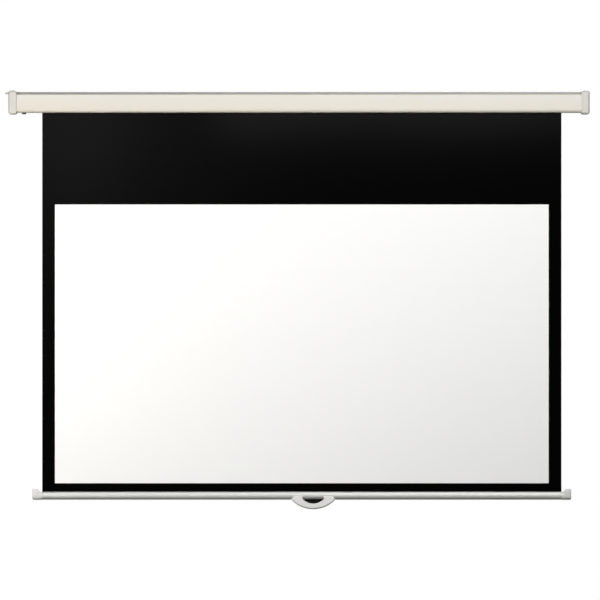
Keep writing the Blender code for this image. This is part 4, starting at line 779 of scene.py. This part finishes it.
def build_cloth():
    """The black sheet, the white picture layer on it, the turns left on the roller and the hem."""
    low, high = span("screen_fabric")
    view_low, view_high = span("viewing_surface")
    hem = build_hem()
    wound, wound_length = build_wound_turns()
    sheet = shape("screen_cloth", cloth_panel(low, high, low[1], high[1], 200, 120))
    dress(sheet, "case", "black_fabric", "screen_fabric")
    picture = shape("picture_surface", cloth_panel(view_low, view_high, view_low[1], low[1] - FINE, 200, 110))
    dress(picture, "case", "white_screen", "viewing_surface")
    for piece in (sheet, picture):
        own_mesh(piece)


def hem_loop():
    """Centre and outer radius of the hem's loop, and the top of its neck."""
    low, high = span("fabric_hem")
    radius = half_of("fabric_hem")[1]
    return np.array([middle_of("fabric_hem")[1], low[2] + radius]), radius, high[2]


def build_hem():
    """The cloth's lower hem: a loop round the hem rod, with a neck that rises out of the bar's mouth.

    The end of the cloth is folded up in front, clear of the cloth's waves, so that it is what shows
    above the bar when it is up.
    """
    centre, radius, top = hem_loop()
    thickness = cloth_thickness()
    neck = thickness / 2
    start = QUARTER + math.asin(neck / radius)
    fold_back = span("viewing_surface")[0][1] - 2 * sizes().cloth_wave
    fold_front, fold_top = fold_back - thickness, top + sizes().hem_weld
    outside = np.vstack([arc(centre, radius, start, math.pi + TAU - start, 48),
                         [centre[0] + neck, top], [fold_back, top], [fold_back, fold_top],
                         [fold_front, fold_top], [fold_front, top - thickness],
                         [centre[0] - neck, top - thickness]])
    inside = arc(centre, radius - thickness, 0, TAU, 48)[:-1]
    hem = shape("cloth_hem", along_x(outside, "fabric_hem"))
    carve(hem, along_x(inside, "fabric_hem", OVER))
    return dress(hem, "bar", "black_fabric", "fabric_hem")


def build_wound_turns():
    """The turns that stay on the roller, and the length of cloth in them.

    They are an Archimedean spiral whose outer end hangs at the back. At angle a the outer face lies at
    R - pitch * a / TAU from the axis.
    """
    _, y, z = joint("roller_spin")["pos_m"]
    pitch, thickness = sizes().roll_pitch, cloth_thickness()
    outer = span("fabric_roll")[1][1] - y
    steps, end = 360, TAU * TURNS_LEFT
    radius = outer - pitch * np.linspace(0, end, steps + 1) / TAU
    face, back = [arc((y, z), reach, 0, end, steps) for reach in (radius, radius - thickness)]
    wound = shape("wound_cloth", along_x(np.concatenate([face, back[::-1]]), "fabric_roll"))
    wound_length = TAU * TURNS_LEFT * (outer - thickness / 2 - pitch * TURNS_LEFT / 2)
    return dress(wound, "roller", "black_fabric", "fabric_roll"), wound_length


# Weight bar

BAR_BELLY = 0.42            # height of the bar's widest place, as a share of its height
BAR_LAND = 4.2 * MM         # half-width of its flat top
EAR_LAND = 9.0 * MM         # the same on an ear
EAR_RISE = 11.0 * MM
BAR_COUNT = 96              # points round the bar
HANDLE_BORE = 2.2 * MM      # radius of the screw holes in bar and handle


def bar_angles():
    """Angles round the bar, from its bottom."""
    return TAU * (np.arange(BAR_COUNT) + 0.5) / BAR_COUNT - QUARTER


def bar_section(grow=0.0, ear=0.0):
    """The bar's outline from its bottom round, as depth and height from the middle of its bottom.

    Below the belly it is half an ellipse. Above it, two quarter ellipses meet a flat top. An ear from
    0 to 1 lifts the top and widens its flat land.
    """
    _, half_depth, half_height = half_of("weight_bar")
    height, half = 2 * half_height, half_depth + grow
    belly = BAR_BELLY * height
    land = BAR_LAND + ear * (EAR_LAND - BAR_LAND)
    crown = height - belly + grow + ear * EAR_RISE
    sine, cosine = np.sin(bar_angles()), np.cos(bar_angles())
    lower = np.column_stack([half * cosine, belly + (belly + grow) * sine])
    upper = np.column_stack([np.sign(cosine) * (land + (half - land) * np.abs(cosine)), belly + crown * sine])
    return np.where(sine[:, None] < 0, lower, upper)


def bar_origin():
    """The middle of the bar's bottom, as (y, z)."""
    return np.array([middle_of("weight_bar")[1], span("weight_bar")[0][2]])


def build_weight_bar():
    """The extruded bar, with the hem's channel open at its top, and the bore of the ballast rod."""
    low, high = span("weight_bar")
    hem_centre, hem_radius, _ = hem_loop()
    channel, mouth = hem_radius + SEAT, 1.5 * MM
    start = QUARTER - math.asin(mouth / channel)
    section, height = bar_section(), high[2] - low[2]
    bore = arc((0, hem_centre[1] - low[2]), channel, start, -math.pi - start, 40)
    loop = np.vstack([section[section[:, 0] > 0], [mouth, height], bore, [-mouth, height],
                      section[section[:, 0] < 0]]) + bar_origin()
    bar = shape("bar_extrusion", along_x(loop, "weight_bar", stations=3))
    ballast = arc(middle_of("ballast_rod")[1:], half_of("ballast_rod")[2] + SEAT, 0, TAU, 48)[:-1]
    hole = drill(-OVER, 4.2 * MM, HANDLE_BORE)
    carve(bar, along_x(ballast, "weight_bar", OVER),
          *[turned(hole, foot_of("handle_screw_" + place, "weight_bar"), UP, 32) for place, _ in SIDES])
    dress(bar, "bar", "bar_metal", "weight_bar")


def build_bar_caps():
    """Moulded ends lofted along X: a spigot, the bar's own outline, then the upswept ear, rounded off.

    The ear's share eases up by a smooth step. The end is a quarter circle.
    """
    proud, radius, sleeve, slope = 0.6 * MM, 5.6 * MM, 6.5 * MM, 11.0 * MM
    spigot, spigot_z = half_of("ballast_rod")[2], middle_of("ballast_rod")[2] - bar_origin()[1]
    circle = np.column_stack([spigot * np.cos(bar_angles()), spigot_z + spigot * np.sin(bar_angles())])
    bevel, narrow = 0.4 * MM, (0.9, 1)
    for place, side in SIDES:
        node, inner_end = "bar_cap_" + place, end_of("weight_bar", side)
        reach = side * (end_of(node, side) - inner_end)
        tip = reach - 2 * half_of(node)[0]
        rings = [(tip, circle * narrow), (tip + 1 * MM, circle), (SEAT, circle),
                 (SEAT, bar_section(proud - bevel)), (SEAT + bevel, bar_section(proud))]
        for share in np.linspace(0, 1, 25):
            rings.append((sleeve + share * slope, bar_section(proud, ease(share))))
        for turn in np.radians(np.linspace(0, 90, 10)):
            inset = radius * (1 - math.cos(turn))
            rings.append((reach - radius * (1 - math.sin(turn)), bar_section(proud - inset, 1.0)))
        surface = np.empty((len(rings), BAR_COUNT, 3))
        surface[..., 0] = inner_end + side * np.array([along for along, _ in rings])[:, None]
        surface[..., 1:] = np.array([ring for _, ring in rings]) + bar_origin()
        dress(shape("bar_end_" + place, tube_of(surface)), "bar", "end_plastic", node, "bar_end_plastic")


# Handle

CUP_TOP = 3.8 * MM          # height of the finger cup's top over the bar's bottom
CUP_SKIN = 1.6 * MM


def arc_radius(half, rise):
    """Radius of an arc that is twice half wide and rise high: (half * half + rise * rise) / (2 rise)."""
    return (half ** 2 + rise ** 2) / (2 * rise)


def arc_height(radius, drop, x):
    """Height at x of an arc whose lowest point lies drop under zero: R - drop - root(R * R - x * x)."""
    return radius - drop - np.sqrt(radius ** 2 - x ** 2)


class HandleForm:
    """The handle's outlines in its own plane: x from its middle, z from the bar's bottom."""

    def __init__(self):
        low, high = span("handle")
        cup_low, cup_high = span("handle_insert")
        self.middle = middle_of("handle")[0]
        self.bottom = span("weight_bar")[0][2]
        self.front, self.back = low[1], high[1]
        self.half, self.drop = half_of("handle")[0], self.bottom - low[2]
        self.horn = high[2] - self.bottom
        self.arc = arc_radius(self.half, self.drop)
        self.cup_half = half_of("handle_insert")[0] + SEAT
        self.cup_drop = self.bottom - cup_low[2] + SEAT
        self.cup_arc = arc_radius(self.cup_half, CUP_TOP + self.cup_drop)
        self.cup_depth = cup_high[1] - self.front + SEAT

    def face(self):
        """The crescent: two horns on top, and the outer arc below."""
        tip, radius = self.half - 10.0 * MM, 5.0 * MM
        x = np.linspace(-self.half, self.half, 81)[3:-3]
        corners = np.vstack([[(-tip, self.horn, radius), (-self.half, 0.0, radius)],
                             sharp(np.column_stack([x, arc_height(self.arc, self.drop, x)])),
                             [(self.half, 0.0, radius), (tip, self.horn, radius)]])
        return outline(corners, 10)

    def cup(self, inset, top):
        """The cup's outline drawn in by an inset: an arc below, with straight sides up to a flat top."""
        half, radius = self.cup_half - inset, self.cup_arc - inset
        centre = self.cup_arc - self.cup_drop
        reach = math.acos(half / radius)
        if top < centre - radius * math.sin(reach):
            reach = math.asin((centre - top) / radius)
            half = radius * math.cos(reach)
        bow = arc((0, centre), radius, math.pi + reach, TAU - reach, 48)
        return np.vstack([[half, top], [-half, top], bow])

    def pocket(self, low_x, high_x, skin, saddle):
        """A pocket behind the face, between the outer skin and the skin under cup and bar."""
        x = np.linspace(low_x, high_x, 15)
        floor = arc_height(self.arc, self.drop, x) + skin
        roof = arc_height(self.cup_arc, self.cup_drop, np.minimum(np.abs(x), self.cup_half)) - skin
        return np.vstack([np.column_stack([x, floor]), np.column_stack([x, np.minimum(roof, -saddle)])[::-1]])

    def placed(self, loops, depths):
        """Loops of (x, z) set at depths y, as a surface in space."""
        loops, depths = np.asarray(loops), np.asarray(depths)
        rings = np.empty((*loops.shape[:2], 3))
        rings[..., 0] = loops[..., 0] + self.middle
        rings[..., 1] = depths.reshape(len(depths), -1)
        rings[..., 2] = loops[..., 1] + self.bottom
        return tube_of(rings)

    def bar_room(self):
        """The space that the bar takes in the handle."""
        return along_x(bar_section(SEAT) + bar_origin(), "handle", self.half / 2)


def inward_normals(loop):
    """Unit normals of a closed loop of points, turned into it: its lowest point's normal points up."""
    ahead = unit(np.roll(loop, -1, axis=0) - np.roll(loop, 1, axis=0))
    normals = np.column_stack([ahead[:, 1], -ahead[:, 0]])
    return normals if normals[loop[:, 1].argmin(), 1] >= 0 else -normals


def build_handle():
    """The moulded pull: a crescent with elliptical edges, hollowed for bar, finger cup, pockets and screws.

    Round its edge, at angle a, the outline is drawn in by w (1 - cos a) and set d (1 - sin a) behind
    the face. Both w and d grow by flare * n * n, where n is how far the edge faces down.
    """
    form = HandleForm()
    face = form.face()
    inward = inward_normals(face)
    flare, edge_depth = 0.95, 6.5 * MM
    wider = 1 + flare * np.clip(inward[:, 1:], 0, 1) ** 2
    quarter = np.linspace(0, QUARTER, 9)[:, None, None]
    inset = inward * sizes().handle_edge * wider * (1 - np.cos(quarter))
    behind = edge_depth * wider[:, 0] * (1 - np.sin(quarter[..., 0]))
    back_inset, back_depth = 0.5, 0.4           # the back edge's round, as shares of the front's
    loops = np.concatenate([face + inset[::-1], face + inset * back_inset])
    depths = np.concatenate([form.front + behind[::-1], form.back - back_depth * behind])
    handle = shape("pull_handle", form.placed(loops, depths))

    bar_y, bottom = bar_origin()
    past_back = form.back + 4 * MM
    back_top, over_top = bottom + 6.0 * MM, bottom + 30.0 * MM      # behind the bar the handle ends low
    skin, saddle, rib, boss = 4.6 * MM, 4.0 * MM, 2.0 * MM, 6.5 * MM
    cutters = [form.bar_room(),
               round_box((form.middle - 2 * form.half, bar_y, back_top),
                         (form.middle + 2 * form.half, past_back, over_top), 0.5 * MM, 2),
               form.placed([form.cup(0.0, 2 * form.horn)] * 2,
                           [form.front - form.cup_depth, form.front + form.cup_depth])]
    screw_x = middle_of("handle_screw_right")[0] - form.middle
    inner = screw_x - boss
    for near, far in ((rib / 2, inner / 2 - rib / 2), (inner / 2 + rib / 2, inner)):
        for low_x, high_x in ((near, far), (-far, -near)):
            cutters.append(form.placed([form.pocket(low_x, high_x, skin, saddle)] * 2,
                                       [form.front + skin, past_back]))
    head_top, head_radius, reach = -6.0 * MM, 4.4 * MM, 12 * MM
    for _, side in SIDES:
        centre = (form.middle + side * screw_x, bar_y, bottom)
        cutters += [turned(drill(-2 * form.drop, head_top, head_radius), centre, UP, 40),
                    turned(drill(-reach, reach, HANDLE_BORE), centre, UP, 32)]
    carve(handle, *cutters)
    dress(handle, "bar", "handle_plastic", "handle")
    build_finger_cup(form)
    build_handle_screws(form, screw_x)


def build_finger_cup(form):
    """The black cup: the recess's outline, hollowed with a rounded floor, with the bar over its top."""
    fillet, lip, before = 5.0 * MM, 0.4 * MM, 5 * MM
    back = form.front + form.cup_depth - SEAT
    outer = [form.cup(SEAT + lip, CUP_TOP - lip)] + [form.cup(SEAT, CUP_TOP)] * 2
    cup = shape("finger_cup", form.placed(outer, [form.front, form.front + lip, back]))
    quarter = np.linspace(0, QUARTER, 9)[1:]
    bend = back - CUP_SKIN - fillet
    insets = np.concatenate([[0, 0], fillet * (1 - np.cos(quarter))]) + SEAT + CUP_SKIN
    depths = np.concatenate([[form.front - before, bend], bend + fillet * np.sin(quarter)])
    carve(cup, form.placed([form.cup(inset, 2 * form.horn) for inset in insets], depths), form.bar_room())
    dress(cup, "bar", "black_plastic", "handle_insert")


def build_handle_screws(form, screw_x):
    """Two screws with flat round heads and slightly domed faces, up through the handle into the bar."""
    shank, dome = 1.9 * MM, 0.35 * MM
    for place, side in SIDES:
        node = "handle_screw_" + place
        foot, head, tall = span(node)[0][2], half_of(node)[0], 2 * half_of(node)[2]
        profile = [(-0.25 * MM, head), (-1.5 * MM, head), (-2.4 * MM, head - 0.2 * MM), (-2.4 * MM, shank),
                   (-tall + 0.9 * MM, shank), (-tall, shank - 0.9 * MM), (-tall, 0.0)]
        made = screw("pull_screw_" + place, (form.middle + side * screw_x, bar_origin()[0], foot + dome),
                     (0, 0, -1), head, profile, dome)
        dress(made, "bar", "steel", node)


# Roller and lock

WORKS = {
    "zinc": ("roller_bracket_left", "roller_bracket_right", "spring_anchor", "ratchet", "spring_end_plug"),
    "steel": ("spear_rod", "pawl_pin_a", "pawl_pin_b", "idle_pin", "ballast_rod"),
    "spring_steel": ("torsion_spring",),
    "nylon": ("idle_bush", "spring_end_bush", "idle_end_plug", "hem_rod"),
    "dark_plastic": ("pawl_a", "pawl_b"),
    "tube": ("roller_tube",),
}


def dress_works():
    """The pieces inside the casing and the bar keep their solids and get their finishes."""
    for slot, nodes in WORKS.items():
        for name in nodes:
            node = frame["nodes"][name]
            node.data.materials.clear()
            node.data.materials.append(MATERIALS[slot])


# Stage

WHITE = (1.0, 1.0, 1.0)
PICTURE_WIDTH = 2.259       # metres across the view at the screen
VIEW_X, VIEW_Z = 3.6 * MM, -782.4 * MM
CAMERA_AWAY = 30.0
SENSOR = 36.0               # millimetres
FLOOR_Y, FLOOR_Z = -2.0, -1.98
LAMPS = (                   # name, place, (width, height), watts, tint
    ("key", (-2.17, -2.0, -0.73), (0.9, 1.2), 44, "fffdf9"),
    ("front", (0.95, -2.94, 0.83), (3.0, 2.0), 97, "ffffff"),
    ("back", (2.2, 5.5, 1.0), (3.0, 2.0), 340, "ffffff"),
    ("far window", (-2.6, -35.0, 1.4), (2.2, 2.2), 170, "ffffff"),
)
AIM = np.array((0.0, 0.0, -0.75))       # every lamp points here


def background_share(tree, where):
    """How much of the white background a ray meets: all of it from the camera.

    Mirrored rays and those through something clear get the share that where gives.
    """
    rays = add(tree, "LightPath").outputs
    bounced = add(tree, "Math", {0: rays["Is Glossy Ray"], 1: rays["Is Transmission Ray"]})
    return add(tree, "Math", {0: bounced, 1: where, 2: rays["Is Camera Ray"]}, operation="MULTIPLY_ADD")


def build_world():
    """A dim studio, lighter above than below and dark behind the camera.

    The camera sees white everywhere. Reflections and anything clear see it in the white sheet that hangs
    behind the object, as wide as the picture.
    """
    world = bpy.data.worlds.new("studio")
    world.use_nodes = True
    tree = world.node_tree
    tree.nodes.clear()
    way = add(tree, "TexCoord").outputs["Generated"]
    split = add(tree, "SeparateXYZ", {"Vector": way}).outputs
    rise = add(tree, "MapRange", {"Value": split["Z"], "From Min": -0.6, "From Max": 0.9,
                                  "To Min": 0.03, "To Max": 0.12}, interpolation_type="SMOOTHSTEP")
    front = add(tree, "MapRange", {"Value": split["Y"], "From Min": -0.95, "From Max": -0.6,
                                   "To Min": 0.1}, interpolation_type="SMOOTHSTEP")
    room = add(tree, "Math", {0: rise, 1: front}, operation="MULTIPLY")
    sheet = add(tree, "MapRange", {"Value": split["Y"], "From Min": 0.9, "From Max": 0.96},
                interpolation_type="SMOOTHSTEP")
    seen = add(tree, "Mix", {MIX_FACTOR: background_share(tree, sheet), MIX_FIRST: room, MIX_SECOND: WHITE},
               data_type="RGBA")
    back = add(tree, "Background", {"Color": seen, "Strength": 1.0})
    add(tree, "OutputWorld", {"Surface": back})
    bpy.context.scene.world = world


def build_floor():
    """A round floor under the screen, which keeps the shadow.

    It adds light for the camera, and near its rim for reflections too, more of it towards the rim, so
    that it looks pale and fades into the white. From below it can't be seen.
    """
    radius, count = np.array([0.0, 1.0, 2.0, 3.2]), 96
    angle = np.linspace(0, TAU, count, endpoint=False)
    rings = np.stack([radius[:, None] * np.cos(angle), radius[:, None] * np.sin(angle) + FLOOR_Y,
                      np.full((len(radius), count), FLOOR_Z)], axis=-1)
    floor = shape("floor", (rings.reshape(-1, 3), quads(len(radius), count)))
    floor.data.flip_normals()
    # Floor paint in a plain matt grey: a fine speckle a few millimetres wide keeps it from looking flat.
    material, tree, place = blank("painted floor")
    shader = tree.nodes["Principled BSDF"]
    speck = add(tree, "TexNoise", {"Vector": place, "Scale": per(3), "Detail": 3.0})
    tone = add(tree, "Mix", {MIX_FACTOR: speck, MIX_FIRST: linear("5a5a59"), MIX_SECOND: linear("60605f")},
               data_type="RGBA")
    offset = add(tree, "VectorMath", {0: place, 1: (0.0, -FLOOR_Y, -FLOOR_Z)})
    away = add(tree, "VectorMath", {0: offset}, operation="LENGTH")
    rim = add(tree, "MapRange", {"Value": away, "From Min": 1.6, "From Max": 3.1, "To Min": 0.7},
              interpolation_type="SMOOTHSTEP")
    far = add(tree, "MapRange", {"Value": away, "From Min": 2.5, "From Max": 3.1},
              interpolation_type="SMOOTHSTEP")
    lift = add(tree, "Math", {0: background_share(tree, far), 1: rim}, operation="MULTIPLY")
    feed(tree, shader, {"Base Color": tone, "Roughness": 0.8, "Emission Color": WHITE,
                        "Emission Strength": lift})
    under = add(tree, "NewGeometry").outputs["Backfacing"]
    clear = add(tree, "BsdfTransparent")
    seen = add(tree, "MixShader", {0: under, 1: shader, 2: clear})
    feed(tree, tree.nodes["Material Output"], {"Surface": seen})
    floor.data.materials.append(material)


def build_camera():
    """A long lens straight in front, as wide as the photograph's frame at the screen."""
    camera = bpy.data.cameras.new("camera")
    camera.sensor_width = SENSOR
    camera.lens = SENSOR * CAMERA_AWAY / PICTURE_WIDTH
    camera.clip_end = 200.0
    obj = in_scene("camera", camera)
    obj.location = (VIEW_X, span("casing")[0][1] / 2 - CAMERA_AWAY, VIEW_Z)
    obj.rotation_euler = (QUARTER, 0.0, 0.0)
    bpy.context.scene.camera = obj
    bpy.context.scene.view_settings.view_transform = "Standard"


def build_lights():
    """Softboxes, all turned to the middle of the screen."""
    for name, place, size, watts, tint in LAMPS:
        lamp = bpy.data.lights.new(name, "AREA")
        lamp.shape = "RECTANGLE"
        lamp.size, lamp.size_y = size
        lamp.energy = watts
        lamp.color = linear(tint)
        obj = in_scene(name, lamp)
        obj.location = place
        x, y, z = AIM - place
        obj.rotation_euler = (QUARTER + math.atan2(z, math.hypot(x, y)), 0.0, math.atan2(-x, y))


# Add-on

def run(*jobs):
    """Runs a step's jobs in order, and tells Blender that it is done."""
    for job in jobs:
        job()
    return {"FINISHED"}


class PULLSCREEN_OT_finishes(bpy.types.Operator):
    """Make every finish"""

    bl_idname = "pullscreen.finishes"
    bl_label = "Finishes"

    def execute(self, context):
        return run(make_materials)


class PULLSCREEN_OT_casing(bpy.types.Operator):
    """Build the casing and the thumb screw under it"""

    bl_idname = "pullscreen.casing"
    bl_label = "Casing"

    def execute(self, context):
        return run(build_casing, build_carrier_screw)


class PULLSCREEN_OT_rail(bpy.types.Operator):
    """Build the hanging rail and the tab in its end"""

    bl_idname = "pullscreen.rail"
    bl_label = "Hanging Rail"

    def execute(self, context):
        return run(build_rail, build_rail_lug)


class PULLSCREEN_OT_end_caps(bpy.types.Operator):
    """Build both end caps and their screws"""

    bl_idname = "pullscreen.end_caps"
    bl_label = "End Caps"

    def execute(self, context):
        return run(build_end_caps, build_cap_screws)


class PULLSCREEN_OT_wall_brackets(bpy.types.Operator):
    """Build the two wall brackets"""

    bl_idname = "pullscreen.wall_brackets"
    bl_label = "Wall Brackets"

    def execute(self, context):
        return run(build_wall_brackets)


class PULLSCREEN_OT_works(bpy.types.Operator):
    """Give the roller, its spring and its lock their finishes"""

    bl_idname = "pullscreen.works"
    bl_label = "Roller and Lock"

    def execute(self, context):
        return run(dress_works)


class PULLSCREEN_OT_cloth(bpy.types.Operator):
    """Build the cloth, its white picture area, its wound turns and its hem"""

    bl_idname = "pullscreen.cloth"
    bl_label = "Cloth"

    def execute(self, context):
        return run(build_cloth)


class PULLSCREEN_OT_weight_bar(bpy.types.Operator):
    """Build the weight bar and its two ends"""

    bl_idname = "pullscreen.weight_bar"
    bl_label = "Weight Bar"

    def execute(self, context):
        return run(build_weight_bar, build_bar_caps)


class PULLSCREEN_OT_handle(bpy.types.Operator):
    """Build the handle, its finger cup and its screws"""

    bl_idname = "pullscreen.handle"
    bl_label = "Handle"

    def execute(self, context):
        return run(build_handle)


class PULLSCREEN_OT_stage(bpy.types.Operator):
    """Set the floor, the lights, the world and the camera"""

    bl_idname = "pullscreen.stage"
    bl_label = "Stage"

    def execute(self, context):
        return run(build_world, build_floor, build_camera, build_lights)


STEPS = (PULLSCREEN_OT_finishes, PULLSCREEN_OT_casing, PULLSCREEN_OT_rail, PULLSCREEN_OT_end_caps,
         PULLSCREEN_OT_wall_brackets, PULLSCREEN_OT_works, PULLSCREEN_OT_cloth, PULLSCREEN_OT_weight_bar,
         PULLSCREEN_OT_handle, PULLSCREEN_OT_stage)


class PULLSCREEN_PT_panel(bpy.types.Panel):
    """Lists the build's steps, sizes and colours"""

    bl_label = "Pull Down Screen"
    bl_idname = "PULLSCREEN_PT_panel"
    bl_space_type = "VIEW_3D"
    bl_region_type = "UI"
    bl_category = "Pull Screen"

    def draw(self, context):
        column = self.layout.column(align=True)
        for step in STEPS:
            column.operator(step.bl_idname)
        for group in (sizes(), colours()):
            box = self.layout.box()
            for name in group.bl_rna.properties.keys():
                if name not in ("rna_type", "name"):
                    box.prop(group, name)


CLASSES = (PULLSCREEN_PG_sizes, PULLSCREEN_PG_colours, *STEPS, PULLSCREEN_PT_panel)


def register():
    for cls in CLASSES:
        bpy.utils.register_class(cls)
    bpy.types.Scene.pull_screen_sizes = bpy.props.PointerProperty(type=PULLSCREEN_PG_sizes)
    bpy.types.Scene.pull_screen_colours = bpy.props.PointerProperty(type=PULLSCREEN_PG_colours)


def unregister():
    del bpy.types.Scene.pull_screen_colours
    del bpy.types.Scene.pull_screen_sizes
    for cls in reversed(CLASSES):
        bpy.utils.unregister_class(cls)


def main():
    register()
    for step in STEPS:
        group, name = step.bl_idname.split(".")
        getattr(getattr(bpy.ops, group), name)()


if __name__ == "__main__":
    main()
